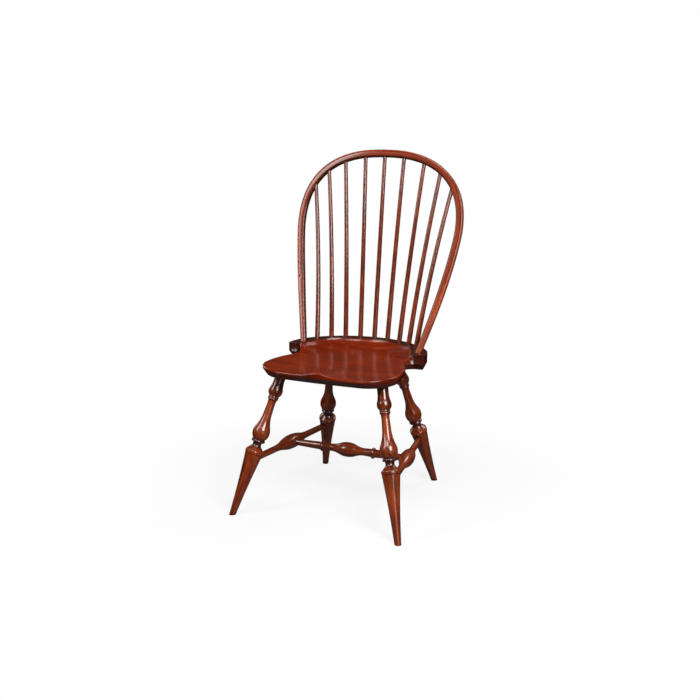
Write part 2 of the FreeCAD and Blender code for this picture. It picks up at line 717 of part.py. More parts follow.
def leg_turning(name, corner):
    """A whole leg, turned round Z with the floor at zero height on its axis."""
    enter, end = tenon_span(corner)
    nick = dim("line_depth")
    half_line = dim("line_width") / 2
    taper = dim("taper_height")
    wafer = dim("wafer_top")
    reed = dim("collar_height") + dim("reed_width")
    steps = [
        ("start", (dim("foot_radius"), -dim("foot_spare")), None),
        ("line", (dim("foot_radius"), as_dim(0)), None),
        ("dip", (dim("taper_radius"), taper), dim("taper_hollow")),
        ("line", (dim("taper_radius") - nick, taper + half_line), None),
        ("line", (dim("ankle_radius"), taper + dim("line_width")), None),
        ("line", (dim("ankle_radius"), dim("ankle_height")), None),
        ("full", (dim("shoulder_radius"), dim("shoulder_height")), None),
        ("line", (dim("flare_radius"), dim("flare_height")), None),
        ("hollow", (dim("cove_neck_radius"), dim("cove_neck_height")), None),
        ("hollow", (dim("wafer_root_radius"), dim("wafer_bottom")), None),
        ("line", (dim("wafer_side_radius"), dim("wafer_bottom")), None),
        ("bead", (dim("wafer_side_radius"), wafer), dim("wafer_swell")),
        ("line", (dim("wafer_side_radius") - nick, wafer + half_line), None),
        ("line", (dim("vase_base_radius"), wafer + dim("line_width")), None),
        ("full", (dim("vase_radius"), dim("vase_height")), None),
        ("ogee", (dim("neck_radius"), dim("neck_height")), dim("vase_share")),
        ("line", (dim("slim_radius"), dim("slim_height")), None),
        ("hollow", (dim("collar_root_radius"), dim("collar_height")), None),
        ("line", (dim("collar_radius"), dim("collar_height")), None),
        ("bead", (dim("collar_radius"), reed), dim("reed_swell")),
        ("bead", (dim("collar_radius"), reed + dim("reed_width")), dim("reed_swell")),
        ("full", (dim("top_vase_radius"), dim("top_vase_height")), None),
        ("ogee", (dim("shank_radius"), dim("shank_height")), dim("top_vase_share")),
        ("line", (dim("tenon_base_radius"), enter), None),
        ("line", (dim("tenon_end_radius"), end), None),
    ]
    return turned_body(name, steps)


def make_leg(corner, hand):
    """A leg with its flat foot, its stretcher mortise and the wedge hidden in its tenon."""
    name = "leg_%s_%s" % (corner, hand)
    side = HANDS[hand]
    foot, direction = leg_line(corner, side)
    turned = leg_turning(name, corner)
    turned.Placement = frame_along(foot, direction)
    floor = doc.addObject("Part::Box", name + "_floor")
    for edge in ("Length", "Width"):
        floor.setExpression(edge, "4 * sizes.taper_radius")
    floor.setExpression("Height", "2 * sizes.foot_spare")
    half = 2 * size("taper_radius")
    floor.Placement.Base = foot - Vector(half, half, 2 * size("foot_spare"))
    front, rear = stretcher_line(side)
    joint, other = (front, rear) if corner == "front" else (rear, front)
    radius = dim("side_end_turning") + dim("glue_gap")
    mortise = drill(name + "_mortise", joint, other - joint, radius, REACH)
    end = foot + direction * (tenon_span(corner)[1].value + WEDGE_SPARE)
    length = dim("leg_wedge") + WEDGE_SPARE
    kerf = wedge_form(name + "_kerf", end, direction, Vector(1, 0, 0), length, dim("taper_radius"))
    return [
        cut_by(name, turned, [floor, mortise, kerf]),
        shared_by(name + "_wedge", kerf, turned),
    ]


def make_side_stretcher(hand):
    """A side stretcher between a front and a rear leg, with the mortise for the middle one."""
    name = "side_stretcher_" + hand
    side = HANDS[hand]
    front, rear = stretcher_line(side)
    half = as_dim((rear - front).Length / 2) - dim("socket_end_gap")
    slim = dim("side_slim_radius")
    start = dim("side_swell_start")
    hollow = dim("side_swell_share")
    steps = [
        ("start", (dim("side_end_turning"), -half), None),
        ("line", (dim("side_end_turning"), dim("stretcher_tenon") - half), None),
        ("line", (slim, -start), None),
        ("ogee", (dim("side_middle_radius"), as_dim(0)), hollow),
        ("ogee", (slim, start), as_dim(1) - hollow),
        ("line", (dim("side_end_turning"), half - dim("stretcher_tenon")), None),
        ("line", (dim("side_end_turning"), half), None),
    ]
    turned = turned_body(name, steps)
    middle = (front + rear) * 0.5
    turned.Placement = frame_along(middle, rear - front)
    radius = dim("medial_end_turning") + dim("glue_gap")
    mortise = drill(name + "_mortise", middle, Vector(-side, 0, 0), radius, REACH)
    return cut_by(name, turned, [mortise])


def make_medial_stretcher():
    """The middle stretcher between the two side stretchers."""
    front, rear = stretcher_line(1)
    middle = (front + rear) * 0.5
    half = as_dim(middle.x) - dim("socket_end_gap")
    root = dim("ring_root_radius")
    inner = dim("ring_place") - dim("ring_width") / 2
    outer = dim("ring_place") + dim("ring_width") / 2
    place = dim("medial_neck_place")
    neck = dim("medial_neck_radius")
    hollow = dim("medial_swell_share")
    steps = [
        ("start", (dim("medial_end_turning"), -half), None),
        ("line", (dim("medial_end_turning"), dim("stretcher_tenon") - half), None),
        ("line", (root, -outer), None),
        ("bead", (root, -inner), dim("ring_swell")),
        ("line", (neck, -place), None),
        ("ogee", (dim("medial_middle_radius"), as_dim(0)), hollow),
        ("ogee", (neck, place), as_dim(1) - hollow),
        ("line", (root, inner), None),
        ("bead", (root, outer), dim("ring_swell")),
        ("line", (dim("medial_end_turning"), half - dim("stretcher_tenon")), None),
        ("line", (dim("medial_end_turning"), half), None),
    ]
    turned = turned_body("medial_stretcher", steps)
    turned.Label = "medial_stretcher"
    turned.Placement = frame_along(Vector(0, middle.y, middle.z), Vector(1, 0, 0))
    return turned


# The bent pieces.

def bow_section(curve, share):
    """The bow's rounded rectangular section at a share of its length, and past its feet."""
    place = curve.FirstParameter + (curve.LastParameter - curve.FirstParameter) * share
    centre = curve.value(place)
    along = curve_tangent(curve, place)
    rise = centre.z - size("seat_height")
    grown = min(max(rise / size("bow_narrow_rise"), 0), 1)
    grown = grown * grown * (3 - 2 * grown)
    half_width = (size("bow_foot_width") + (size("bow_width") - size("bow_foot_width")) * grown) / 2
    corner = size("bow_foot_edge") + (size("bow_edge_radius") - size("bow_foot_edge")) * grown
    half_depth = size("bow_thickness") / 2
    if share == 0:
        centre = centre - along * size("bow_width")
    if share == 1:
        centre = centre + along * size("bow_width")
    lean = math.radians(size("bow_lean"))
    back = Vector(0, math.cos(lean), -math.sin(lean))
    back = back - along * back.dot(along)
    back.normalize()
    across = back.cross(along)
    flat_width = half_width - corner
    flat_depth = half_depth - corner
    slack = corner * (1 - math.sqrt(0.5))
    bends = []
    for a, b in ((1, 1), (-1, 1), (-1, -1), (1, -1)):
        side = centre + across * (a * half_width) + back * (b * flat_depth)
        face = centre + across * (a * flat_width) + back * (b * half_depth)
        middle = centre + across * (a * (half_width - slack)) + back * (b * (half_depth - slack))
        bends.append((side, middle, face) if a * b > 0 else (face, middle, side))
    edges = []
    for index, (first, middle, last) in enumerate(bends):
        edges.append(Part.Arc(first, middle, last).toShape())
        edges.append(Part.makeLine(last, bends[(index + 1) % len(bends)][0]))
    return Part.Wire(edges)


def bow_feet(curve):
    """For each foot of the bow: its hand, its place on the seat and its downward direction."""
    first = curve.FirstParameter
    last = curve.LastParameter
    return [
        ("left", curve.value(first), curve_tangent(curve, first) * -1),
        ("right", curve.value(last), curve_tangent(curve, last)),
    ]


def bow_blank(curve):
    """The bent bow before it is drilled, cut flat on the seat, with its two round tenons."""
    sections = [bow_section(curve, index / BOW_SECTIONS) for index in range(BOW_SECTIONS + 1)]
    span = 4 * size("bow_half_width")
    corner = Vector(-span / 2, -span / 2, 0)
    above_seat = Part.makeBox(span, span, span, corner + Vector(0, 0, size("seat_height")))
    above_base = Part.makeBox(span, span, span, corner + Vector(0, 0, underside()))
    blank = Part.makeLoft(sections, True, False).common(above_seat)
    for hand, root, down in bow_feet(curve):
        lift = size("bow_thickness")
        peg = Part.makeCylinder(size("bow_tenon_radius"), lift + REACH, root - down * lift, down)
        blank = blank.fuse(peg.common(above_base))
    return blank.removeSplitter()


class Spindle:
    """The bent centre line of one spindle and its straight ends."""

    def __init__(self, curve, foot_x, head_x):
        radius = size("spindle_row_radius")
        foot_y = size("spindle_row_back") - radius + math.sqrt(radius ** 2 - foot_x ** 2)
        self.foot = Vector(foot_x, foot_y, size("seat_height"))
        place = bow_place_at(curve, head_x)
        self.head = curve.value(place)
        self.bow_way = curve_tangent(curve, place)
        bend = size("spindle_bend") * (abs(foot_x) / size("foot_fourth")) ** BEND_POWER
        inward = Vector(-math.copysign(bend, foot_x), 0, 0)
        self.pull = (self.foot + self.head) * 0.5 + inward * 2

    def point(self, share):
        """The centre line at a share of its length."""
        rest = 1 - share
        return self.foot * rest ** 2 + self.pull * (2 * share * rest) + self.head * share ** 2

    def direction(self, share):
        """The upward direction at a share of its length."""
        way = (self.pull - self.foot) * (1 - share) + (self.head - self.pull) * share
        way.normalize()
        return way

    def rod(self, blank):
        """The whole spindle, cut flush with the outside of the bow."""
        low = self.direction(0)
        high = self.direction(1)
        foot_radius = size("spindle_foot_radius")
        head_radius = size("spindle_head_radius")
        straight = SPINDLE_STRAIGHT / (self.head - self.foot).Length
        stub = self.foot + low * SPINDLE_STUB
        neck = self.head - high * SPINDLE_STRAIGHT
        places = [(stub, low)]
        for index in range(1, SPINDLE_SECTIONS):
            share = index / SPINDLE_SECTIONS * (1 - straight)
            places.append((self.point(share), self.direction(share)))
        places.append((neck, high))
        circles = []
        for index, (centre, way) in enumerate(places):
            radius = foot_radius + (head_radius - foot_radius) * index / SPINDLE_SECTIONS
            circles.append(Part.Wire(Part.makeCircle(radius, centre, way)))
        sunk = size("spindle_socket") - size("socket_end_gap")
        tenon = Part.makeCylinder(foot_radius, sunk + SPINDLE_STUB, self.foot - low * sunk, low)
        inner = Part.makeCylinder(head_radius, SPINDLE_STRAIGHT, neck, high)
        outer = Part.makeCylinder(head_radius, REACH / 2, self.head, high).common(blank)
        shaft = Part.makeLoft(circles, True, False)
        return shaft.fuse([tenon, inner, outer]).removeSplitter()


def spindle_places():
    """Foot and head places across the chair, for every spindle from left to right."""
    right = [(size("foot_" + place), size("head_" + place)) for place in SPINDLE_PLACES]
    left = [(-foot, -head) for foot, head in reversed(right)]
    return left + [(0.0, 0.0)] + right


def make_spindle(number, spindle, blank):
    """A spindle with a saw kerf in its head, and the wedge that fills it."""
    name = "spindle_%d" % number
    rod = feature(name + "_rod", spindle.rod(blank))
    high = spindle.direction(1)
    crossing = high.cross(spindle.bow_way).Length
    exit_place = spindle.head + high * (size("bow_width") / 2 / crossing)
    length = dim("spindle_wedge") + WEDGE_SPARE
    half = dim("spindle_foot_radius")
    end = exit_place + high * WEDGE_SPARE
    kerf = wedge_form(name + "_kerf", end, high, spindle.bow_way, length, half)
    return [cut_by(name, rod, [kerf]), shared_by(name + "_wedge", kerf, rod)]


def make_bow(curve, blank, spindles):
    """The drilled bow and the wedges in its two foot tenons."""
    whole = feature("bow_blank", blank)
    tools = []
    radius = dim("spindle_head_radius") + dim("glue_gap")
    for number, spindle in enumerate(spindles, start=1):
        high = spindle.direction(1)
        start = spindle.head - high * (REACH / 2)
        tools.append(drill("bow_hole_%d" % number, start, high, radius, REACH))
    pieces = []
    length = dim("bow_wedge") + WEDGE_SPARE
    half = dim("bow_tenon_radius") + dim("glue_gap")
    for hand, root, down in bow_feet(curve):
        name = "bow_foot_%s_wedge" % hand
        end = root + down * (size("seat_thickness") / -down.z + WEDGE_SPARE)
        kerf = wedge_form(name + "_kerf", end, down, Vector(1, 0, 0), length, half)
        tools.append(kerf)
        pieces.append(shared_by(name, kerf, whole))
    return [cut_by("bow", whole, tools)] + pieces


def make_seat(curve, spindles):
    """The hollowed seat with its sockets."""
    hollowed = cut_by("seat_hollowed", seat_blank(), [dish_cutter()])
    grooved = cut_by("seat_grooved", hollowed, [groove_cutter()])
    tools = []
    for corner in ("front", "rear"):
        for hand, side in HANDS.items():
            enter, end = tenon_span(corner)
            foot, direction = leg_line(corner, side)
            cone = doc.addObject("Part::Cone", "socket_%s_%s" % (corner, hand))
            cone.setExpression("Radius1", "sizes.tenon_base_radius + sizes.glue_gap")
            cone.setExpression("Radius2", "sizes.tenon_end_radius + sizes.glue_gap")
            cone.setExpression("Height", (end + dim("socket_end_gap") - enter).text)
            cone.Placement = frame_along(foot + direction * enter.value, direction)
            tools.append(cone)
    radius = dim("spindle_foot_radius") + dim("glue_gap")
    for number, spindle in enumerate(spindles, start=1):
        low = spindle.direction(0)
        start = spindle.foot - low * size("spindle_socket")
        tools.append(drill("seat_hole_%d" % number, start, low, radius, REACH))
    radius = dim("bow_tenon_radius") + dim("glue_gap")
    for hand, root, down in bow_feet(curve):
        start = root - down * size("seat_thickness")
        tools.append(drill("bow_socket_" + hand, start, down, radius, REACH))
    return cut_by("seat", grooved, tools)


def centre_on_floor(pieces):
    """Move every piece so that the middle of the whole chair stands over the origin."""
    whole = FreeCAD.BoundBox()
    for piece in pieces:
        whole.add(piece.Shape.optimalBoundingBox(False))
    shift = Placement(Vector(-whole.Center.x, -whole.Center.y, 0), Rotation())
    print("moved by %.3f, %.3f" % (shift.Base.x, shift.Base.y))
    for piece in pieces:
        piece.Placement = shift.multiply(piece.Placement)
    doc.recompute()


def check_all(pieces):
    """Stop if any object failed or any piece is not one sound solid."""
    for item in doc.Objects:
        if "Invalid" in item.State or "Error" in item.State:
            raise RuntimeError("failed object: " + item.Name)
    for piece in pieces:
        shape = piece.Shape
        if shape.isNull() or not shape.isValid() or len(shape.Solids) != 1:
            raise RuntimeError("bad piece: %s, solids: %d" % (piece.Label, len(shape.Solids)))


def main():
    """Build every piece, check it and write it out."""
    fill_sheet()
    curve = bow_curve()
    spindles = [Spindle(curve, foot, head) for foot, head in spindle_places()]
    blank = bow_blank(curve)
    pieces = make_bow(curve, blank, spindles)
    for number, spindle in enumerate(spindles, start=1):
        pieces += make_spindle(number, spindle, blank)
    for corner in ("front", "rear"):
        for hand in HANDS:
            pieces += make_leg(corner, hand)
    for hand in HANDS:
        pieces.append(make_side_stretcher(hand))
    pieces.append(make_medial_stretcher())
    pieces.append(make_seat(curve, spindles))
    centre_on_floor(pieces)
    check_all(pieces)
    os.makedirs("parts", exist_ok=True)
    for piece in pieces:
        piece.Shape.exportStep("parts/%s.step" % piece.Label)
        box = piece.Shape.optimalBoundingBox(False)
        print("%s %.1f x %.1f x %.1f" % (piece.Label, box.XLength, box.YLength, box.ZLength))


main()
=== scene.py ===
"""Looks of a bow-back Windsor side chair, dressed over its packed wooden pieces.

Sizes are millimetres in the chair's own plan, where the sitter faces -Y. MeshDraft turns them to metres.
"""

import logging
import math
from collections.abc import Sequence
from dataclasses import dataclass, field
from enum import Enum

import bmesh
import bpy
from mathutils import Matrix, Vector
from mathutils.geometry import delaunay_2d_cdt


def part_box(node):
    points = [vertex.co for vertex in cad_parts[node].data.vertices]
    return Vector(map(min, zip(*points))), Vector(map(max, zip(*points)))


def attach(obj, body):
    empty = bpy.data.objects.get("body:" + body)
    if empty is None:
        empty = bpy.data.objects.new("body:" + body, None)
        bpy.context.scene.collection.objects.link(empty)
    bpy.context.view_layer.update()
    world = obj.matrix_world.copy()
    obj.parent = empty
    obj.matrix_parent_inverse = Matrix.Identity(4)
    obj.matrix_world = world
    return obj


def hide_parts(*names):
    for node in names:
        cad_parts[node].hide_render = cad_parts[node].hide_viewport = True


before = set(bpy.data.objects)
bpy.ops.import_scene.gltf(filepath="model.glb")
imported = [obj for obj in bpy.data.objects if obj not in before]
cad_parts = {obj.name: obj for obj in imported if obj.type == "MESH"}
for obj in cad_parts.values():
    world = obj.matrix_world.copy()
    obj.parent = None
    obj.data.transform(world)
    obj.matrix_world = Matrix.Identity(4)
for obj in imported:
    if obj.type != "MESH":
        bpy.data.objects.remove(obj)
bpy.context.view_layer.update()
LOG = logging.getLogger("windsor_chair")

MM = 0.001
BODY = "root"
PLACE = "wood_place"
# The point attribute that holds painted shade, from 0 to 1.
PAINTED_SHADE_ATTRIBUTE = "tone_and_painted_shade"
HANDS = {"left": -1, "right": 1}
SPINDLE_COUNT = 9
UP = Vector((0, 0, 1))
WHITE = "#FFFFFF"
# Edges that bend by more than this many degrees stay sharp.
CREASE = 35.0
# Places closer than this, in millimetres, count as one.
TOUCH = 0.1
# The net's setting that keeps only what lies inside the rim.
INSIDE_ONLY = 1


# Colours and shader nodes.

def linear(colour: str) -> tuple[float, float, float, float]:
    """Turn an sRGB hex colour to a linear one.

    Args:
        colour: Six hex digits, with or without a leading hash.

    Returns:
        Red, green, blue and an alpha of 1, all linear.
    """
    digits = colour.lstrip("#")
    shares = [int(digits[i:i + 2], 16) / 255 for i in (0, 2, 4)]
    lit = [s / 12.92 if s <= 0.04045 else ((s + 0.055) / 1.055) ** 2.4 for s in shares]
    return (lit[0], lit[1], lit[2], 1.0)


def add_node(tree: bpy.types.NodeTree, kind: str, settings: dict | None = None,
             inputs: dict | None = None) -> bpy.types.Node:
    """Add a shader node with its settings, values and links.

    Args:
        tree: The node tree that gets the node.
        kind: The node's type.
        settings: Attributes of the node and their values.
        inputs: Input sockets, by name or index, and a value or the output socket to link.

    Returns:
        The new node.
    """
    node = tree.nodes.new(kind)
    for key, value in (settings or {}).items():
        setattr(node, key, value)
    for key, value in (inputs or {}).items():
        if isinstance(value, bpy.types.NodeSocket):
            tree.links.new(value, node.inputs[key])
        else:
            node.inputs[key].default_value = value
    return node


def colour_ramp(node: bpy.types.Node, stops: Sequence[tuple[float, str]]) -> None:
    """Set a colour ramp's stops.

    Args:
        node: A colour ramp node.
        stops: The place and the sRGB hex colour of each stop.
    """
    elements = node.color_ramp.elements
    while len(elements) < len(stops):
        elements.new(0.5)
    for element, (place, colour) in zip(elements, stops):
        element.position = place
        element.color = linear(colour)


# Finishes.

class GrainSource(Enum):
    """Where a finish reads how its grain lies."""

    STOCK = "the place of each point in the stick or plank it was cut from"
    UPRIGHT = "the place in the chair, with the grain upright"


@dataclass(frozen=True)
class VarnishedWood:
    """Cherry, stained red-brown and rubbed out to a gloss varnish, with painted shade in the hollows.

    It gives the eye a warm ground with soft long figure, short dark pores, recesses darkened by
    painted shade and narrow white window lights on the turnings.
    """

    name: str
    slot: str
    dark: str
    ground: str
    light: str
    shade_colour: str = "#1E0704"
    grain: GrainSource = GrainSource.STOCK
    figure_width: float = 9.0
    figure_length: float = 170.0
    pore_width: float = 0.7
    pore_length: float = 9.0
    toning_size: float = 85.0
    shade_reach: float = 14.0
    shade_strength: float = 0.95
    roughness: float = 0.42
    gloss: float = 1.0
    gloss_roughness: float = 0.13
    gloss_ior: float = 1.7
    wood_ior: float = 1.5
    wood_shine: float = 0.1
    figure_stops: tuple[float, float, float] = (0.34, 0.5, 0.66)
    pore_bottom: float = 0.3
    pore_edge: float = 0.44
    pore_dark: float = 0.55
    pore_relief: float = 0.03
    pore_bump: float = 0.1
    noise_low: float = 0.3
    noise_high: float = 0.7
    tone_low: float = 0.74
    tone_high: float = 1.18
    recess_samples: int = 6
    recess_closed: float = 0.35
    recess_open: float = 0.85

    def material(self) -> bpy.types.Material:
        """Build the material.

        Returns:
            The varnished wood, with its nodes.
        """
        made = bpy.data.materials.new(self.name)
        made.use_nodes = True
        tree = made.node_tree
        tree.nodes.clear()
        place = self._place(tree)
        figure = self._streaks(tree, place, self.figure_width, self.figure_length, 3.0, 0.55)
        pores = self._streaks(tree, place, self.pore_width, self.pore_length, 2.0, 0.5)
        toning = self._streaks(tree, place, self.toning_size, self.toning_size, 2.0, 0.4)
        ground = add_node(tree, "ShaderNodeValToRGB", inputs={"Fac": figure})
        colour_ramp(ground, list(zip(self.figure_stops, (self.dark, self.ground, self.light))))
        depth = add_node(tree, "ShaderNodeMapRange", inputs={
            "Value": pores, "From Min": self.pore_bottom, "From Max": self.pore_edge,
            "To Min": self.pore_dark, "To Max": 0.0})
        pored = add_node(tree, "ShaderNodeMix", {"data_type": "RGBA"}, {
            "Factor": depth.outputs[0], "A": ground.outputs["Color"], "B": linear(self.dark)})
        tone = add_node(tree, "ShaderNodeMapRange", inputs={
            "Value": toning, "From Min": self.noise_low, "From Max": self.noise_high,
            "To Min": self.tone_low, "To Max": self.tone_high})
        tone_and_painted_shade = add_node(tree, "ShaderNodeVectorMath", {"operation": "SCALE"}, {
            0: pored.outputs["Result"], "Scale": tone.outputs[0]})
        # Painted shade: recesses found by ambient occlusion, and the places marked on the mesh, are mixed
        # towards a dark shade colour.
        hollow = add_node(tree, "ShaderNodeAmbientOcclusion", {"samples": self.recess_samples}, {
            "Distance": self.shade_reach * MM})
        recess_shade = add_node(tree, "ShaderNodeMapRange", inputs={
            "Value": hollow.outputs["AO"], "From Min": self.recess_closed, "From Max": self.recess_open,
            "To Min": self.shade_strength, "To Max": 0.0})
        painted_shade_share = add_node(tree, "ShaderNodeAttribute", {"attribute_name": PAINTED_SHADE_ATTRIBUTE})
        darkest = add_node(tree, "ShaderNodeMath", {"operation": "MAXIMUM"}, {
            0: recess_shade.outputs[0], 1: painted_shade_share.outputs["Fac"]})
        painted_shaded_colour = add_node(tree, "ShaderNodeMix", {"data_type": "RGBA"}, {
            "Factor": darkest.outputs[0], "A": tone_and_painted_shade.outputs[0], "B": linear(self.shade_colour)})
        bump = add_node(tree, "ShaderNodeBump", inputs={
            "Strength": self.pore_bump, "Distance": self.pore_relief * MM, "Height": pores})
        shader = add_node(tree, "ShaderNodeBsdfPrincipled", inputs={
            "Base Color": painted_shaded_colour.outputs["Result"], "Roughness": self.roughness,
            "IOR": self.wood_ior, "Specular IOR Level": self.wood_shine, "Coat Weight": self.gloss,
            "Coat Roughness": self.gloss_roughness, "Coat IOR": self.gloss_ior,
            "Normal": bump.outputs[0]})
        add_node(tree, "ShaderNodeOutputMaterial", inputs={"Surface": shader.outputs[0]})
        return made

    def _place(self, tree: bpy.types.NodeTree) -> bpy.types.NodeSocket:
        """The socket that gives each point's place in the wood, with the grain along Z.

        Args:
            tree: The material's nodes.

        Returns:
            The output socket, in metres.
        """
        if self.grain is GrainSource.STOCK:
            node = add_node(tree, "ShaderNodeAttribute", {"attribute_name": PLACE})
            return node.outputs["Vector"]
        return add_node(tree, "ShaderNodeTexCoord").outputs["Object"]

    def _streaks(self, tree: bpy.types.NodeTree, place: bpy.types.NodeSocket, width: float,
                 length: float, detail: float, roughness: float) -> bpy.types.NodeSocket:
        """Noise drawn out along the grain.

        Args:
            tree: The material's nodes.
            place: The place in the wood, in metres.
            width: Size of a streak across the grain, in millimetres.
            length: Size of a streak along the grain, in millimetres.
            detail: Octaves of the noise.
            roughness: Strength of the finer octaves.

        Returns:
            The noise value's socket.
        """
        size = Vector((1 / (width * MM), 1 / (width * MM), 1 / (length * MM)))
        drawn = add_node(tree, "ShaderNodeVectorMath", {"operation": "MULTIPLY"}, {0: place, 1: size})
        noise = add_node(tree, "ShaderNodeTexNoise", inputs={
            "Vector": drawn.outputs[0], "Scale": 1.0, "Detail": detail, "Roughness": roughness})
        return noise.outputs[0]


TURNED = VarnishedWood("turned_varnished_cherry", "turned_wood", "#641D08", "#8E3611", "#A5481C",
                       gloss_roughness=0.2, gloss_ior=1.85)
BENT = VarnishedWood("bent_varnished_cherry", "bent_wood", "#812B10", "#A33F1A", "#B8542C",
                     figure_width=5.0, figure_length=240.0, gloss=0.6)
SPINDLE = VarnishedWood("spindle_varnished_cherry", "bent_wood", "#5C1D09", "#7A2E12", "#90401E",
                        grain=GrainSource.UPRIGHT, figure_width=4.0, figure_length=210.0)
PLANK = VarnishedWood("plank_varnished_cherry", "seat_wood", "#721B05", "#852605", "#972F08",
                      figure_width=14.0, figure_length=260.0, gloss=0.65, gloss_roughness=0.16)
WEDGE = VarnishedWood("wedge_varnished_cherry", "wedge_wood", "#3F140A", "#5C2312", "#77351E",
                      grain=GrainSource.UPRIGHT, figure_width=2.0, figure_length=40.0)


# Meshes.

@dataclass
class MeshDraft:
    """A mesh in the making: points, faces, and the place of every point in its wood."""

    points: list[Vector] = field(default_factory=list)
    places: list[Vector] = field(default_factory=list)
    # Painted shade on each point, from 0 to 1.
    tone_and_painted_shade: list[float] = field(default_factory=list)
    faces: list[tuple[int, ...]] = field(default_factory=list)

    def add(self, points: Sequence[Vector], places: Sequence[Vector],
            tone_and_painted_shade: Sequence[float] | None = None) -> list[int]:
        """Add points.

        Args:
            points: The points, in millimetres.
            places: Their places in the wood, with the grain along Z.
            tone_and_painted_shade: How dark the painted shade lies on each, from 0 to 1, or None for none.

        Returns:
            The new points' numbers.
        """
        first = len(self.points)
        self.points.extend(points)
        self.places.extend(places)
        self.tone_and_painted_shade.extend(tone_and_painted_shade or [0.0] * len(points))
        return list(range(first, len(self.points)))

    def bridge(self, first: Sequence[int], second: Sequence[int]) -> None:
        """Join two closed rings of equal length by a band of faces.

        Args:
            first: The points' numbers round one ring.
            second: Those round the other, in the same order.
        """
        for index in range(len(first)):
            after = (index + 1) % len(first)
            self.faces.append((first[index], first[after], second[after], second[index]))

    def build(self, name: str, crease: float = CREASE) -> bpy.types.Object:
        """Make the object.

        Args:
            name: Name of the object.
            crease: Edges that bend by more than this many degrees stay sharp.

        Returns:
            The object, linked to the scene, with its points in metres.
        """
        mesh = bpy.data.meshes.new(name)
        mesh.from_pydata([point * MM for point in self.points], [], self.faces)
        stock = mesh.attributes.new(PLACE, "FLOAT_VECTOR", "POINT")
        stock.data.foreach_set("vector", [part * MM for place in self.places for part in place])
        mesh.attributes.new(PAINTED_SHADE_ATTRIBUTE, "FLOAT", "POINT").data.foreach_set("value", self.tone_and_painted_shade)
        made = bmesh.new()
        made.from_mesh(mesh)
        bmesh.ops.recalc_face_normals(made, faces=made.faces)
        made.to_mesh(mesh)
        made.free()
        mesh.shade_smooth()
        mesh.set_sharp_from_angle(angle=math.radians(crease))
        thing = bpy.data.objects.new(name, mesh)
        bpy.context.scene.collection.objects.link(thing)
        return thing


def frame_along(start: Vector, direction: Vector, side: Vector = Vector((0, -1, 0))) -> Matrix:
    """A frame at start whose Z runs along a direction.

    Args:
        start: The frame's origin, in millimetres.
        direction: The way of its Z axis.
        side: The way that its X axis comes nearest to.

    Returns:
        The matrix, with its origin still in millimetres.
    """
    z_axis = direction.normalized()
    x_axis = (side - z_axis * side.dot(z_axis)).normalized()
    y_axis = z_axis.cross(x_axis)
    turned = Matrix((x_axis, y_axis, z_axis)).transposed()
    return Matrix.Translation(start) @ turned.to_4x4()


def dress(thing: bpy.types.Object, finish: VarnishedWood, stock: dict[str, bpy.types.Material]) -> None:
    """Give an object a finish in every one of its material slots.

    Args:
        thing: The object.
        finish: Its finish.
        stock: The materials made so far.
    """
    if finish.name not in stock:
        stock[finish.name] = finish.material()
    if not thing.material_slots:
        thing.data.materials.append(stock[finish.name])
    for material_slot in thing.material_slots:
        material_slot.material = stock[finish.name]


def stand_for(thing: bpy.types.Object, node: str, finish: VarnishedWood) -> None:
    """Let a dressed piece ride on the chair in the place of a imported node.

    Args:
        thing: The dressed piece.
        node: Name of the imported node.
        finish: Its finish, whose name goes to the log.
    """
    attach(thing, BODY)
    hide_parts(node)
    LOG.info("%s: %d faces, %s", thing.name, len(thing.data.polygons), finish.name)


def smooth_step(share: float) -> float:
    """A smooth ramp from 0 to 1, flat at both ends."""
    held = min(max(share, 0.0), 1.0)
    return held * held * (3 - 2 * held)


def arc_points(start: Vector, end: Vector, radius: float, left: bool, count: int) -> list[Vector]:
    """Points of a round edge in a plane.

    Args:
        start: Where it starts.
        end: Where it ends.
        radius: Its radius.
        left: True where it turns left on its way.
        count: Number of points after the start.

    Returns:
        The points after the start, the end among them.
    """
    chord = end - start
    reach = math.sqrt(max(radius ** 2 - chord.length_squared / 4, 0.0))
    across = Vector((-chord.y, chord.x)).normalized() * (reach if left else -reach)
    centre = (start + end) / 2 + across
    first = math.atan2(start.y - centre.y, start.x - centre.x)
    last = math.atan2(end.y - centre.y, end.x - centre.x)
    if left and last < first:
        last += 2 * math.pi
    if not left and last > first:
        last -= 2 * math.pi
    turns = [first + (last - first) * (index + 1) / count for index in range(count)]
    return [centre + Vector((math.cos(turn), math.sin(turn))) * radius for turn in turns]


# Turnings.

class Cut(Enum):
    """A turner's cut: how the outline runs to its next point."""

    LINE = "straight"
    FULL = "rounded, in line with the axis at its widest"
    HOLLOW = "hollowed, in line with the axis at its slimmest"
    OGEE = "an S that ends in line with the axis at both ends"
    BEAD = "standing out by an amount"
    DIP = "sunk by an amount"


@dataclass(frozen=True)
class Step:
    """One cut of a turning and the radius and height where it ends."""

    cut: Cut
    radius: float
    height: float
    amount: float = 0.0


CURVE_POINTS = 14


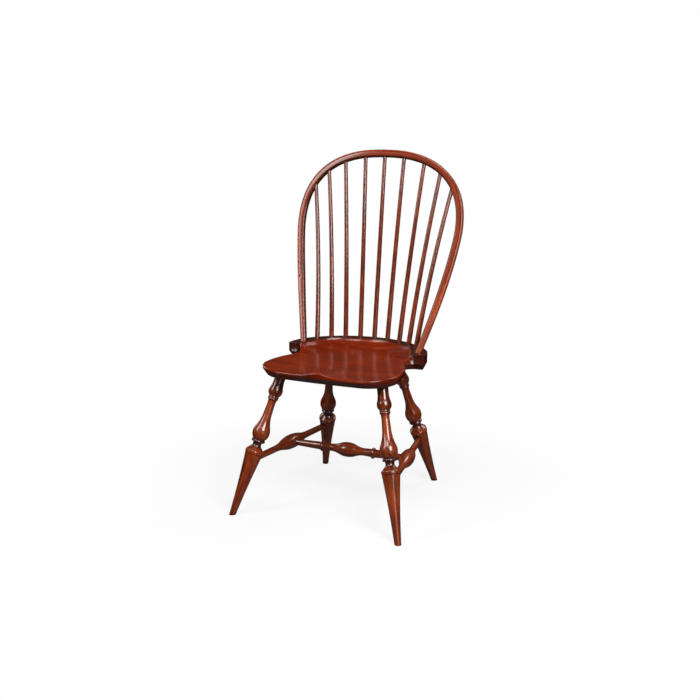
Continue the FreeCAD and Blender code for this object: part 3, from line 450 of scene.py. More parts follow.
def turned_outline(start: Vector, steps: Sequence[Step]) -> list[Vector]:
    """Follow the cuts of a turning.

    Args:
        start: Radius and height where the outline starts.
        steps: The cuts.

    Returns:
        The outline's points, as radius and height.
    """
    line = [start]
    for step in steps:
        here = line[-1]
        there = Vector((step.radius, step.height))
        gain = there.x - here.x
        rise = there.y - here.y
        if step.cut is Cut.LINE:
            line.append(there)
        elif step.cut in (Cut.FULL, Cut.HOLLOW):
            radius = (rise ** 2 + gain ** 2) / (2 * abs(gain))
            line += arc_points(here, there, radius, step.cut is Cut.FULL, CURVE_POINTS)
        elif step.cut is Cut.OGEE:
            whole = (rise ** 2 + gain ** 2) / (2 * abs(gain))
            middle = here + (there - here) * step.amount
            falling = gain < 0
            line += arc_points(here, middle, whole * step.amount, falling, CURVE_POINTS)
            line += arc_points(middle, there, whole * (1 - step.amount), not falling, CURVE_POINTS)
        else:
            radius = (rise ** 2 / 4 + step.amount ** 2) / (2 * step.amount)
            line += arc_points(here, there, radius, step.cut is Cut.BEAD, CURVE_POINTS)
    return line


@dataclass(frozen=True)
class PaintedShadeBand:
    """A stretch of a turning darkened by painted shade: its two heights and how dark it is."""

    low: float
    high: float
    dark: float
    fade: float = 3.0

    def at(self, height: float) -> float:
        """How dark the band is at a height."""
        rising = smooth_step((height - self.low) / self.fade + 0.5)
        return self.dark * rising * smooth_step((self.high - height) / self.fade + 0.5)


def turned_draft(line: Sequence[Vector], knot: Vector, bands: Sequence[PaintedShadeBand] = (),
                 sides: int = 72) -> MeshDraft:
    """Turn an outline round Z.

    Args:
        line: The outline's points, as radius and height.
        knot: How far from the heart of the tree the piece's axis lies, so that no two pieces match.
        bands: Where painted shade darkens the turning.
        sides: Number of points round the axis.

    Returns:
        The closed turning.
    """
    draft = MeshDraft()
    turns = [2 * math.pi * index / sides for index in range(sides)]
    rings = []
    for point in line:
        ring = [Vector((point.x * math.cos(turn), point.x * math.sin(turn), point.y)) for turn in turns]
        dark = max([band.at(point.y) for band in bands], default=0.0)
        rings.append(draft.add(ring, [place + knot for place in ring], [dark] * sides))
    for first, second in zip(rings, rings[1:]):
        draft.bridge(first, second)
    draft.faces.append(tuple(rings[0]))
    draft.faces.append(tuple(rings[-1]))
    return draft


def knot_for(number: int) -> Vector:
    """A place in the tree for a piece, a different one for each number."""
    return Vector((37.0 + 61.0 * number, 23.0 - 47.0 * number, 131.0 * number))


@dataclass
class Undercarriage:
    """The four splayed legs and the three stretchers."""

    front_top: Vector = Vector((150.2, -124.4, 399.7))
    rear_top: Vector = Vector((106.8, 104.0, 399.7))
    front_foot: Vector = Vector((249.8, -249.4, 0))
    rear_foot: Vector = Vector((185.9, 243.0, 0))
    foot_spare: float = 14.0
    foot_radius: float = 9.2
    taper_radius: float = 25.0
    taper_height: float = 184.0
    taper_hollow: float = 1.5
    line_depth: float = 1.3
    line_width: float = 2.0
    ankle_radius: float = 26.0
    ankle_height: float = 192.0
    shoulder_radius: float = 23.4
    shoulder_height: float = 195.4
    flare_radius: float = 15.8
    flare_height: float = 204.4
    cove_neck_radius: float = 12.2
    cove_neck_height: float = 212.0
    wafer_root_radius: float = 14.2
    wafer_radius: float = 18.2
    wafer_bottom: float = 219.0
    wafer_top: float = 225.5
    wafer_swell: float = 1.5
    vase_base_radius: float = 17.5
    vase_radius: float = 24.6
    vase_height: float = 247.0
    vase_share: float = 0.25
    neck_radius: float = 12.2
    neck_height: float = 308.0
    slim_radius: float = 11.2
    slim_height: float = 330.0
    collar_root_radius: float = 12.4
    collar_radius: float = 14.0
    collar_height: float = 345.5
    reed_width: float = 5.5
    reed_swell: float = 0.8
    top_vase_radius: float = 20.2
    top_vase_height: float = 370.0
    top_vase_share: float = 0.3
    shank_radius: float = 15.3
    shank_height: float = 402.0
    tenon_base_radius: float = 15.8
    tenon_lead: float = 8.0
    tenon_radius: float = 14.6
    tenon_reach: float = 12.0
    stretcher_height: float = 163.0
    stretcher_tenon: float = 26.0
    side_end_turning: float = 9.0
    side_slim_radius: float = 9.6
    side_swell_start: float = 82.0
    side_middle_radius: float = 21.0
    side_swell_share: float = 0.45
    medial_end_turning: float = 9.6
    medial_slim_radius: float = 11.0
    medial_swell_start: float = 52.0
    medial_middle_radius: float = 21.6
    ring_root_radius: float = 12.0
    ring_place: float = 80.0
    ring_width: float = 10.0
    ring_swell: float = 4.0
    # Painted shade: darker at the wafer and neck under the vase, at the collar and under the seat; on the
    # middle stretcher, at its two rings.
    leg_shade_bands: tuple[PaintedShadeBand, ...] = (
        PaintedShadeBand(205, 229, 0.7), PaintedShadeBand(342, 357, 0.35), PaintedShadeBand(362, 430, 0.3, 20),
    )
    medial_shade_bands: tuple[PaintedShadeBand, ...] = (PaintedShadeBand(-86, -74, 0.4), PaintedShadeBand(74, 86, 0.4))

    def build(self, shift: Vector, stock: dict[str, bpy.types.Material]) -> None:
        """Turn, place and dress the seven pieces.

        Args:
            shift: From the chair's own plan to the frame.
            stock: The materials made so far.
        """
        number = 0
        for corner, foot, top in (("front", self.front_foot, self.front_top),
                                  ("rear", self.rear_foot, self.rear_top)):
            for hand, side in HANDS.items():
                number += 1
                self._leg("leg_%s_%s" % (corner, hand), self._mirrored(foot, side),
                          self._mirrored(top, side), number, shift, stock)
        for hand, side in HANDS.items():
            number += 1
            front, rear = self._stretcher_ends(side)
            line = self._side_outline((rear - front).length / 2)
            middle = (front + rear) / 2
            self._place("side_stretcher_" + hand, line, (), middle, rear - front, number, shift, stock)
        front, rear = self._stretcher_ends(1)
        middle = (front + rear) / 2
        line = self._medial_outline(middle.x)
        centre = Vector((0, middle.y, middle.z))
        self._place("medial_stretcher", line, self.medial_shade_bands, centre, Vector((1, 0, 0)),
                    number + 1, shift, stock)

    def _mirrored(self, point: Vector, side: int) -> Vector:
        """The point on the left or on the right of the chair."""
        return Vector((side * point.x, point.y, point.z))

    def _stretcher_ends(self, side: int) -> tuple[Vector, Vector]:
        """Where the axes of a side's two legs carry its stretcher.

        Args:
            side: -1 for the left and 1 for the right.

        Returns:
            The place on the front leg and the one on the rear leg.
        """
        ends = []
        for foot, top in ((self.front_foot, self.front_top), (self.rear_foot, self.rear_top)):
            way = (top - foot).normalized()
            ends.append(self._mirrored(foot + way * self.stretcher_height, side))
        return ends[0], ends[1]

    def _place(self, name: str, line: Sequence[Vector], bands: Sequence[PaintedShadeBand], centre: Vector,
               way: Vector, number: int, shift: Vector,
               stock: dict[str, bpy.types.Material]) -> bpy.types.Object:
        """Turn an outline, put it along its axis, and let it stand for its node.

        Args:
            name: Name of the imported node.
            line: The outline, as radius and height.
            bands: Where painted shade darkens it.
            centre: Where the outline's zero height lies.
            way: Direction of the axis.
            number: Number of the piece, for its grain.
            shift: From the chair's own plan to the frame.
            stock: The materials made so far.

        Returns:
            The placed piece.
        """
        draft = turned_draft(line, knot_for(number), bands)
        placed = frame_along(centre + shift, way)
        draft.points = [placed @ point for point in draft.points]
        thing = draft.build(name + "_turned")
        dress(thing, TURNED, stock)
        stand_for(thing, name, TURNED)
        return thing

    def _leg(self, name: str, foot: Vector, top: Vector, number: int, shift: Vector,
             stock: dict[str, bpy.types.Material]) -> None:
        """Turn a leg and saw its foot level with the floor.

        Args:
            name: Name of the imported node.
            foot: Where its axis meets the floor.
            top: Where its axis meets the seat's underside.
            number: Number of the piece, for its grain.
            shift: From the chair's own plan to the frame.
            stock: The materials made so far.
        """
        way = top - foot
        line = self._leg_outline(way.length)
        thing = self._place(name, line, self.leg_shade_bands, foot, way, number, shift, stock)
        made = bmesh.new()
        made.from_mesh(thing.data)
        geometry = list(made.verts) + list(made.edges) + list(made.faces)
        cut = bmesh.ops.bisect_plane(made, geom=geometry, plane_co=(0, 0, 0), plane_no=UP,
                                     clear_inner=True)
        rim = [part for part in cut["geom_cut"] if isinstance(part, bmesh.types.BMEdge)]
        bmesh.ops.contextual_create(made, geom=rim)
        made.to_mesh(thing.data)
        made.free()
        thing.data.shade_smooth()
        thing.data.set_sharp_from_angle(angle=math.radians(CREASE))

    def _leg_outline(self, length: float) -> list[Vector]:
        """The leg's outline, from below the floor to the end of its tenon.

        Args:
            length: Length of the axis from the floor to the seat's underside.

        Returns:
            The outline's points, as radius and height.
        """
        nick = self.line_depth
        half = self.line_width / 2
        reed = self.collar_height + self.reed_width
        steps = [
            Step(Cut.LINE, self.foot_radius, 0),
            Step(Cut.DIP, self.taper_radius, self.taper_height, self.taper_hollow),
            Step(Cut.LINE, self.taper_radius - nick, self.taper_height + half),
            Step(Cut.LINE, self.ankle_radius, self.taper_height + self.line_width),
            Step(Cut.LINE, self.ankle_radius, self.ankle_height),
            Step(Cut.FULL, self.shoulder_radius, self.shoulder_height),
            Step(Cut.LINE, self.flare_radius, self.flare_height),
            Step(Cut.HOLLOW, self.cove_neck_radius, self.cove_neck_height),
            Step(Cut.HOLLOW, self.wafer_root_radius, self.wafer_bottom),
            Step(Cut.LINE, self.wafer_radius, self.wafer_bottom),
            Step(Cut.BEAD, self.wafer_radius, self.wafer_top, self.wafer_swell),
            Step(Cut.LINE, self.wafer_radius - nick, self.wafer_top + half),
            Step(Cut.LINE, self.vase_base_radius, self.wafer_top + self.line_width),
            Step(Cut.FULL, self.vase_radius, self.vase_height),
            Step(Cut.OGEE, self.neck_radius, self.neck_height, self.vase_share),
            Step(Cut.LINE, self.slim_radius, self.slim_height),
            Step(Cut.HOLLOW, self.collar_root_radius, self.collar_height),
            Step(Cut.LINE, self.collar_radius, self.collar_height),
            Step(Cut.BEAD, self.collar_radius, reed, self.reed_swell),
            Step(Cut.BEAD, self.collar_radius, reed + self.reed_width, self.reed_swell),
            Step(Cut.FULL, self.top_vase_radius, self.top_vase_height),
            Step(Cut.OGEE, self.shank_radius, self.shank_height, self.top_vase_share),
            Step(Cut.LINE, self.tenon_base_radius, length - self.tenon_lead),
            Step(Cut.LINE, self.tenon_radius, length + self.tenon_reach),
        ]
        return turned_outline(Vector((self.foot_radius, -self.foot_spare)), steps)

    def _side_outline(self, half: float) -> list[Vector]:
        """A side stretcher's outline, with its middle at zero height.

        Args:
            half: Half its length.

        Returns:
            The outline's points, as radius and height.
        """
        end = self.side_end_turning
        steps = [
            Step(Cut.LINE, end, self.stretcher_tenon - half),
            Step(Cut.LINE, self.side_slim_radius, -self.side_swell_start),
            Step(Cut.OGEE, self.side_middle_radius, 0, self.side_swell_share),
            Step(Cut.OGEE, self.side_slim_radius, self.side_swell_start, 1 - self.side_swell_share),
            Step(Cut.LINE, end, half - self.stretcher_tenon),
            Step(Cut.LINE, end, half),
        ]
        return turned_outline(Vector((end, -half)), steps)

    def _medial_outline(self, half: float) -> list[Vector]:
        """The middle stretcher's outline, with its middle at zero height.

        Args:
            half: Half its length.

        Returns:
            The outline's points, as radius and height.
        """
        end = self.medial_end_turning
        root = self.ring_root_radius
        near = self.ring_place - self.ring_width / 2
        far = self.ring_place + self.ring_width / 2
        steps = [
            Step(Cut.LINE, end, self.stretcher_tenon - half),
            Step(Cut.LINE, root, -far),
            Step(Cut.BEAD, root, -near, self.ring_swell),
            Step(Cut.LINE, self.medial_slim_radius, -self.medial_swell_start),
            Step(Cut.OGEE, self.medial_middle_radius, 0, 0.5),
            Step(Cut.OGEE, self.medial_slim_radius, self.medial_swell_start, 0.5),
            Step(Cut.LINE, root, near),
            Step(Cut.BEAD, root, far, self.ring_swell),
            Step(Cut.LINE, end, half - self.stretcher_tenon),
            Step(Cut.LINE, end, half),
        ]
        return turned_outline(Vector((end, -half)), steps)


# The back.

@dataclass
class Back:
    """The bent bow with its scratched bead, the nine spindles and the wedges."""

    seat_height: float = 443.7
    foot: Vector = Vector((181.8, 77.3))
    rise: float = 577.8
    lean: float = 18.5
    belly: float = 19.6
    half_width: float = 250.3
    widest_rise: float = 358.0
    flare_power: float = 1.36
    head_power: float = 2.4
    width: float = 22.0
    depth: float = 17.5
    edge: float = 5.0
    foot_width: float = 19.5
    foot_edge: float = 7.5
    narrow_rise: float = 220.0
    sunk: float = 8.0
    proud: float = 0.15
    bead_width: float = 6.0
    bead_line: float = 1.6
    bead_start: float = 185.0
    bead_fade: float = 14.0
    # Across and down the scratched line, as shares of half its width and of its depth.
    bead_profile: tuple[tuple[float, float], ...] = (
        (-1.6, 0.12), (-1, 0.25), (-0.35, 1), (0.35, 1), (1, 0),
    )
    # Painted shade on the bow's inner side and in the scratched bead line.
    inner_painted_shade: float = 0.75
    inner_start: float = 3.0
    inner_fade: float = 5.0
    line_painted_shade: float = 0.9
    stations: int = 90
    corner_points: int = 6

    def build(self, shift: Vector, stock: dict[str, bpy.types.Material]) -> None:
        """Bend and dress the bow, then dress the spindles and the wedges.

        Args:
            shift: From the chair's own plan to the frame.
            stock: The materials made so far.
        """
        thing = self._bow_draft().build("bow_bent", crease=50.0)
        thing.location = shift * MM
        dress(thing, BENT, stock)
        stand_for(thing, "bow", BENT)
        for number in range(1, SPINDLE_COUNT + 1):
            name = "spindle_%d" % number
            dress(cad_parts[name], SPINDLE, stock)
            LOG.info("%s: %s", name, SPINDLE.name)
        for name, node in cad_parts.items():
            if name.endswith("_wedge"):
                dress(node, WEDGE, stock)
                LOG.info("%s: %s", name, WEDGE.name)

    def _half_line(self) -> list[Vector]:
        """Half width and rise of the bow's centre line, from a foot to the middle of the head.

        Returns:
            The line's points.
        """
        line = []
        power = 2 / self.head_power
        head = self.rise - self.widest_rise
        for index in range(self.stations):
            share = index / self.stations
            flare = (self.half_width - self.foot.x) * (1 - share) ** self.flare_power
            line.append(Vector((self.half_width - flare, share * self.widest_rise)))
        for index in range(self.stations + 1):
            turn = math.pi / 2 * index / self.stations
            across = self.half_width * max(math.cos(turn), 0.0) ** power
            line.append(Vector((across, self.widest_rise + head * math.sin(turn) ** power)))
        return line

    def _centre(self, across: float, rise: float) -> Vector:
        """A point of the centre line in the chair's plan.

        Args:
            across: How far it lies to the right of the middle.
            rise: Rise along the lean.

        Returns:
            The point, in millimetres.
        """
        lean = math.radians(self.lean)
        share = rise / self.rise
        back = self.foot.y + rise * math.sin(lean) + self.belly * 4 * share * (1 - share)
        return Vector((across, back, self.seat_height + rise * math.cos(lean)))

    def _section(self, rise: float) -> list[Vector]:
        """The bow's section at a rise: inward and backward of the centre line.

        Args:
            rise: Rise along the lean, which sets the width and the bead.

        Returns:
            The points of a closed ring.
        """
        grown = smooth_step(rise / self.narrow_rise)
        half_w = (self.foot_width + (self.width - self.foot_width) * grown) / 2 - self.proud
        half_d = self.depth / 2 - self.proud
        edge = self.foot_edge + (self.edge - self.foot_edge) * grown
        cut = self.bead_line * smooth_step((rise - self.bead_start) / self.bead_fade)
        ring = []
        for a, b in ((1, 1), (-1, 1), (-1, -1), (1, -1)):
            side = Vector((a * half_w, b * (half_d - edge)))
            face = Vector((a * (half_w - edge), b * half_d))
            first, last = (side, face) if a * b > 0 else (face, side)
            ring += [first] + arc_points(first, last, edge, True, self.corner_points)
            if (a, b) == (-1, -1):
                ring += self._bead_line(half_w, half_d, cut)
        return ring

    def _bead_line(self, half_w: float, half_d: float, cut: float) -> list[Vector]:
        """The scratched line that parts the bead from the front face.

        Args:
            half_w: Half the section's width.
            half_d: Half its depth.
            cut: Depth of the line at this place.

        Returns:
            The line's points in the section.
        """
        centre = self.bead_width - half_w
        half = self.bead_line / 2
        profile = self.bead_profile
        return [Vector((centre + place * half, cut * deep - half_d)) for place, deep in profile]

    def _painted_shade(self, at: Vector) -> float:
        """How dark the painted shade lies at a point of the section: on the inner side and in the bead
        line.

        Args:
            at: The point, inward and backward of the centre line.

        Returns:
            From 0 for clean to 1 for darkest.
        """
        inner = self.inner_painted_shade * smooth_step((at.x - self.inner_start) / self.inner_fade)
        aside = abs(at.x + self.width / 2 - self.bead_width)
        if aside > self.bead_line:
            return inner
        sunk = at.y + self.depth / 2 - self.proud
        return self.line_painted_shade * smooth_step(sunk / self.bead_line)

    def _bow_draft(self) -> MeshDraft:
        """Sweep the section along the whole bow.

        Returns:
            The closed bow.
        """
        half = self._half_line()
        line = [self._centre(-point.x, point.y) for point in half]
        rises = [point.y for point in half]
        line += [self._centre(point.x, point.y) for point in reversed(half[:-1])]
        rises += reversed(rises[:-1])
        lean = math.radians(self.lean)
        back = Vector((0, math.cos(lean), -math.sin(lean)))
        draft = MeshDraft()
        rings = []
        length = 0.0
        for index, centre in enumerate(line):
            before = line[max(index - 1, 0)]
            after = line[min(index + 1, len(line) - 1)]
            along = (after - before).normalized()
            length += (centre - before).length
            deep = (back - along * back.dot(along)).normalized()
            inward = deep.cross(along)
            if index in (0, len(line) - 1):
                centre = centre - along * (self.sunk if index == 0 else -self.sunk)
            section = self._section(rises[index])
            points = [centre + inward * at.x + deep * at.y for at in section]
            places = [Vector((at.x, at.y, length)) for at in section]
            tone_and_painted_shade = [self._painted_shade(at) for at in section]
            rings.append(draft.add(points, places, tone_and_painted_shade))
        for first, second in zip(rings, rings[1:]):
            draft.bridge(first, second)
        draft.faces.append(tuple(rings[0]))
        draft.faces.append(tuple(rings[-1]))
        return draft


# The seat.

@dataclass
class Seat:
    """The hollowed plank: lobes, pommel, notches, ears, flat band, groove and bevel."""

    height: float = 443.7
    thickness: float = 44.0
    lobe_half_width: float = 200.0
    lobe_corner: float = 95.0
    lobe_widest: float = 125.0
    front_bulge: float = 3.0
    side_end: Vector = Vector((189.0, -50.0))
    side_end_radius: float = 190.0
    lobe_end: Vector = Vector((174.0, -13.0))
    cove_start: float = 3.5
    cove_radius: float = 28.0
    ear_front: float = 42.0
    ear_half_width: float = 213.5
    ear_face: float = 21.5
    back_depth: float = 171.0
    back_corner: float = 135.0
    bevel_height: float = 18.0
    bevel_side: float = 9.0
    bevel_front: float = 17.0
    deck_half_width: float = 168.0
    deck_depth: float = 133.0
    deck_step: float = 1.5
    groove_offset: float = 4.0
    groove_width: float = 2.4
    groove_depth: float = 1.4
    dish_depth: float = 23.0
    dish_run: float = 17.0
    side_rise: float = 5.0
    side_rise_start: float = 110.0
    front_rise: float = 3.0
    pommel_rise: float = 9.5
    pommel_spread: float = 32.0
    pommel_run: float = 120.0
    lobe_rim: float = 4.0
    ear_rim: float = 1.4
    scoop_radius: float = 60.0
    rim_fade: float = 30.0
    rim_steps: int = 7
    step_run: float = 0.5
    scoop_front_fade: float = 10.0
    scoop_side_fade: float = 12.0
    # Painted shade on the side wall, the underside bevel and the flat band behind the hollow.
    wall_painted_shade: float = 0.3
    bevel_painted_shade: float = 0.75
    band_painted_shade: float = 0.8
    wall_steps: int = 8
    grid: float = 4.0
    grid_shift: float = 8.0
    weld: float = 0.05
    band_points: int = 110
    # Lines of points that hold the hollow's sharp edge and the groove's sides.
    deck_outsets: tuple[float, ...] = (0.15, -0.6, -3.0)
    groove_outsets: tuple[float, ...] = (0.0, 0.7, 1.7)
    sharpest_lean: float = 0.6

    def build(self, shift: Vector, stock: dict[str, bpy.types.Material]) -> None:
        """Shape and dress the seat.

        Args:
            shift: From the chair's own plan to the frame.
            stock: The materials made so far.
        """
        thing = self._draft().build("seat_carved", crease=42.0)
        thing.location = shift * MM
        dress(thing, PLANK, stock)
        stand_for(thing, "seat", PLANK)

    def plan(self, side_inset: float, front_inset: float) -> list[Vector]:
        """The seat's outline seen from above, inside the full one by two insets.

        Args:
            side_inset: Inset at the sides and the back.
            front_inset: Inset at the front edge.

        Returns:
            The closed outline's points, anticlockwise from the front left corner.
        """
        corner_x = self.lobe_half_width - self.lobe_corner
        corner = Vector((corner_x, front_inset - self.lobe_widest - self.lobe_corner))
        lobe = Vector((self.lobe_half_width - side_inset, -self.lobe_widest))
        side = self.side_end - Vector((side_inset, 0))
        tail = self.lobe_end - Vector((side_inset, 0))
        face_end = self.ear_half_width - self.ear_face
        cove = self.cove_radius + side_inset
        drop = self.ear_front - self.cove_radius - self.cove_start
        hollow = Vector((face_end - math.sqrt(cove ** 2 - drop ** 2), self.cove_start))
        face = Vector((face_end, self.ear_front + side_inset))
        end_centre = self.ear_half_width - self.back_corner
        end_radius = self.back_corner - side_inset
        ear = Vector((end_centre + math.sqrt(end_radius ** 2 - side_inset ** 2), face.y))
        depth = self.back_depth
        radius = (end_centre ** 2 + depth ** 2 - self.back_corner ** 2) / (2 * (depth - self.back_corner))
        ratio = (radius - side_inset) / (radius - self.back_corner)
        join = Vector((end_centre * ratio, self.ear_front + (depth - radius) * (1 - ratio)))
        run = self.lobe_widest + self.side_end.y
        fall = self.lobe_half_width - self.side_end.x
        side_radius = (run ** 2 + fall ** 2) / (2 * fall)
        corner_radius = self.lobe_corner - (side_inset + front_inset) / 2
        front_radius = (corner_x ** 2 + self.front_bulge ** 2) / (2 * self.front_bulge)
        # The last value of each arc is its number of points.
        right = [corner]
        right += arc_points(corner, lobe, corner_radius, True, 40)
        right += arc_points(lobe, side, side_radius, True, 18)
        right += arc_points(side, tail, self.side_end_radius, True, 12)
        right += [tail.lerp(hollow, (index + 1) / 5) for index in range(5)]
        right += arc_points(hollow, face, cove, False, 22)
        right += [face.lerp(ear, (index + 1) / 6) for index in range(6)]
        right += arc_points(ear, join, end_radius, True, 36)
        left = [Vector((-point.x, point.y)) for point in reversed(right)]
        rear = arc_points(join, Vector((-join.x, join.y)), radius - side_inset, True, 40)
        front = arc_points(left[-1], right[0], front_radius, True, 48)
        return right + rear[:-1] + left + front[:-1]

    def deck_depth_at(self, across: float, back: float) -> float:
        """How far a place of the plan lies inside the hollow, or how far outside as a negative.

        Args:
            across: How far it lies to the right of the middle.
            back: How far back it lies.

        Returns:
            The distance, roughly, in millimetres.
        """
        side = abs(across)
        if back > self.ear_front:
            reach = math.hypot(side / self.deck_half_width, (back - self.ear_front) / self.deck_depth)
            return self.deck_half_width * (1 - reach)
        if side > self.deck_half_width:
            return self.ear_front - back + self.deck_half_width - side
        return math.hypot(self.deck_half_width - side, self.ear_front - back)

    def surface(self, across: float, back: float) -> float:
        """The height of the seat's top at a place of the plan, before its rim is rounded.

        Args:
            across: How far it lies to the right of the middle.
            back: How far back it lies.

        Returns:
            The height over the floor.
        """
        inside = self.deck_depth_at(across, back)
        if inside <= 0:
            return self.height - self._groove(across, back)
        fall = 1 - math.exp(-inside / self.dish_run)
        step = self.deck_step * smooth_step(inside / self.step_run)
        drop = (self.dish_depth - self.deck_step) * fall + step
        run = self.lobe_half_width - self.side_rise_start
        outside = max(abs(across) - self.side_rise_start, 0.0) / run
        forward = min(max((self.ear_front - back) / self.ear_front, 0.0), 1.0)
        drop -= self.side_rise * outside ** 2 * forward
        edge = self.lobe_widest + self.lobe_corner
        ramp = smooth_step((self.pommel_run - edge - back) / self.pommel_run)
        ridge = math.exp(-(across / self.pommel_spread) ** 2)
        drop -= (self.front_rise + self.pommel_rise * ridge) * ramp
        return self.height - drop

    def _band_painted_shade(self, point: Vector) -> float:
        """How dark the painted shade lies on the flat band behind the hollow."""
        return self.band_painted_shade * (1 - smooth_step((self.deck_depth_at(point.x, point.y) + 1) / 2))

    def _groove(self, across: float, back: float) -> float:
        """Depth of the groove in the flat band at a place of the plan.

        Args:
            across: How far it lies to the right of the middle.
            back: How far back it lies.

        Returns:
            The depth, 0 beside the groove.
        """
        outset = -self._band_depth(across, back)
        middle = self.groove_offset + self.groove_width / 2
        share = abs(outset - middle) / (self.groove_width / 2)
        return self.groove_depth * (1 - smooth_step((share - 0.5) * 2))

    def _band_depth(self, across: float, back: float) -> float:
        """How far a place lies inside the oval that the groove follows, straight before the ears.

        Args:
            across: How far it lies to the right of the middle.
            back: How far back it lies.

        Returns:
            The distance, negative outside the oval.
        """
        side = abs(across)
        if back <= self.ear_front:
            return self.deck_half_width - side
        reach = Vector((side, (back - self.ear_front) * self.deck_half_width / self.deck_depth)).length
        return (self.deck_half_width - reach) * self._squeeze(side, back - self.ear_front)

    def _squeeze(self, across: float, back: float) -> float:
        """How much shorter the oval's true offset is than the one seen along its squeezed depth.

        Args:
            across: Distance from the middle.
            back: Distance behind the oval's centre.

        Returns:
            The share, 1 at the sides.
        """
        turn = math.atan2(back / self.deck_depth, across / self.deck_half_width)
        ratio = self.deck_depth / self.deck_half_width
        return math.sqrt(math.cos(turn) ** 2 + (ratio * math.sin(turn)) ** 2)

    def _rim_radius(self, point: Vector) -> float:
        """Radius of the rounded top edge: soft round the lobes, crisp round the ears and back."""
        soft = smooth_step((self.cove_start - point.y) / self.rim_fade)
        return self.ear_rim + (self.lobe_rim - self.ear_rim) * soft

    def _band_line(self, outset: float) -> list[Vector]:
        """The line that runs outside the hollow's rear edge by an outset, and on to the notches.

        Args:
            outset: The outset, in millimetres.

        Returns:
            The line's points, from right to left.
        """
        half = self.deck_half_width + outset
        depth = self.deck_depth + outset
        run_out = self.ear_front - self.cove_radius
        oval = []
        for index in range(self.band_points + 1):
            turn = math.pi * index / self.band_points
            oval.append(Vector((half * math.cos(turn), self.ear_front + depth * math.sin(turn))))
        return [Vector((half, run_out))] + oval + [Vector((-half, run_out))]

    def _deck_line(self, outset: float) -> list[Vector]:
        """The hollow's edge, moved out by an outset, with its ends slanting into the notches.

        Args:
            outset: The outset, negative to move it in.

        Returns:
            The line's points, from right to left.
        """
        line = self._band_line(outset)[1:-1]
        slant = Vector((self.cove_radius, -self.cove_radius))
        start = line[0] + slant
        end = line[-1] + Vector((-slant.x, slant.y))
        return [start] + line + [end]

    def _draft(self) -> MeshDraft:
        """Join the carved top, the wall, the bevel and the underside.

        Returns:
            The closed seat.
        """
        draft = MeshDraft()
        outline = self.plan(0, 0)
        inward = self._inward(outline)
        steps = self.rim_steps
        rings = []
        for index in range(steps + 1):
            turn = math.pi / 2 * index / steps
            ring = []
            for point, way in zip(outline, inward):
                radius = self._rim_radius(point)
                at = point + way * (radius * (1 - math.cos(turn)))
                top = self.surface(at.x, at.y) - radius * (1 - math.sin(turn))
                ring.append(Vector((at.x, at.y, top)))
            rings.append(ring)
        base = self.height - self.thickness
        bottom = self.plan(self.bevel_side, self.bevel_front)
        walls = [[Vector((p.x, p.y, base)) for p in bottom]]
        for index in range(self.wall_steps):
            walls.append(self._wall_ring(outline, inward, rings[0], index / self.wall_steps))
        rings = walls + rings
        numbers = []
        for index, ring in enumerate(rings):
            # Painted shade: darkest on the underside bevel, lighter up the wall, fading out over the
            # rounded rim, and on the flat band.
            dark = self.bevel_painted_shade if index == 0 else self.wall_painted_shade
            if index > self.wall_steps:
                share = (index - self.wall_steps) / steps
                dark = self.wall_painted_shade * (1 - smooth_step(share))
            tone_and_painted_shade = [max(dark, self._band_painted_shade(point)) for point in ring]
            numbers.append(draft.add(ring, [self._stock_place(point) for point in ring], tone_and_painted_shade))
        for first, second in zip(numbers, numbers[1:]):
            draft.bridge(first, second)
        draft.faces.append(tuple(numbers[0]))
        self._carve_top(draft, numbers[-1])
        return draft

    def _wall_ring(self, outline: Sequence[Vector], inward: Sequence[Vector], top: Sequence[Vector],
                   share: float) -> list[Vector]:
        """A level ring of the wall, scooped out where the ears meet the notches.

        Args:
            outline: The seat's outline.
            inward: The way into the seat at every point of the outline.
            top: The ring at the upper end of the wall.
            share: How far up the wall the ring lies, from 0 to 1.

        Returns:
            The ring's points.
        """
        low = self.height - self.thickness + self.bevel_height
        ring = []
        for point, way, high in zip(outline, inward, top):
            level = low + (high.z - low) * share
            down = self.height - level
            full = self.height - low
            reach = self.scoop_radius
            hollow = reach - math.sqrt(reach ** 2 - down ** 2)
            whole = reach - math.sqrt(reach ** 2 - full ** 2)
            out = (hollow - whole / 2) * self._scoop_share(point)
            at = point - way * out
            ring.append(Vector((at.x, at.y, level)))
        return ring

    def _scoop_share(self, point: Vector) -> float:
        """How much of the scoop a point of the outline takes: all of it in the notch's hollow.

        Args:
            point: The point of the outline.

        Returns:
            The share, from 0 to 1.
        """
        side = abs(point.x)
        face_end = self.ear_half_width - self.ear_face
        notch = Vector((face_end, self.ear_front - self.cove_radius))
        away = (Vector((side, point.y)) - notch).length
        if point.y > self.ear_front + TOUCH or side < face_end - self.cove_radius - 1:
            return 0.0
        if side >= face_end:
            if point.y < self.ear_front - TOUCH:
                return 0.0
            return smooth_step((self.ear_half_width - side) / self.scoop_side_fade)
        if away > self.cove_radius + 0.5:
            return 0.0
        return smooth_step((point.y - self.cove_start) / self.scoop_front_fade)

    def _stock_place(self, point: Vector) -> Vector:
        """The place in the plank, whose grain runs across the seat."""
        return Vector((point.y, point.z, point.x))

    def _inward(self, outline: Sequence[Vector]) -> list[Vector]:
        """The way into the seat at every point of its outline, lengthened at sharp corners.

        Args:
            outline: The closed outline.

        Returns:
            One way for every point.
        """
        ways = []
        count = len(outline)
        for index, point in enumerate(outline):
            first = (point - outline[index - 1]).normalized()
            second = (outline[(index + 1) % count] - point).normalized()
            normal = Vector((-first.y - second.y, first.x + second.x)).normalized()
            lean = max(normal.dot(Vector((-first.y, first.x))), self.sharpest_lean)
            ways.append(normal / lean)
        return ways

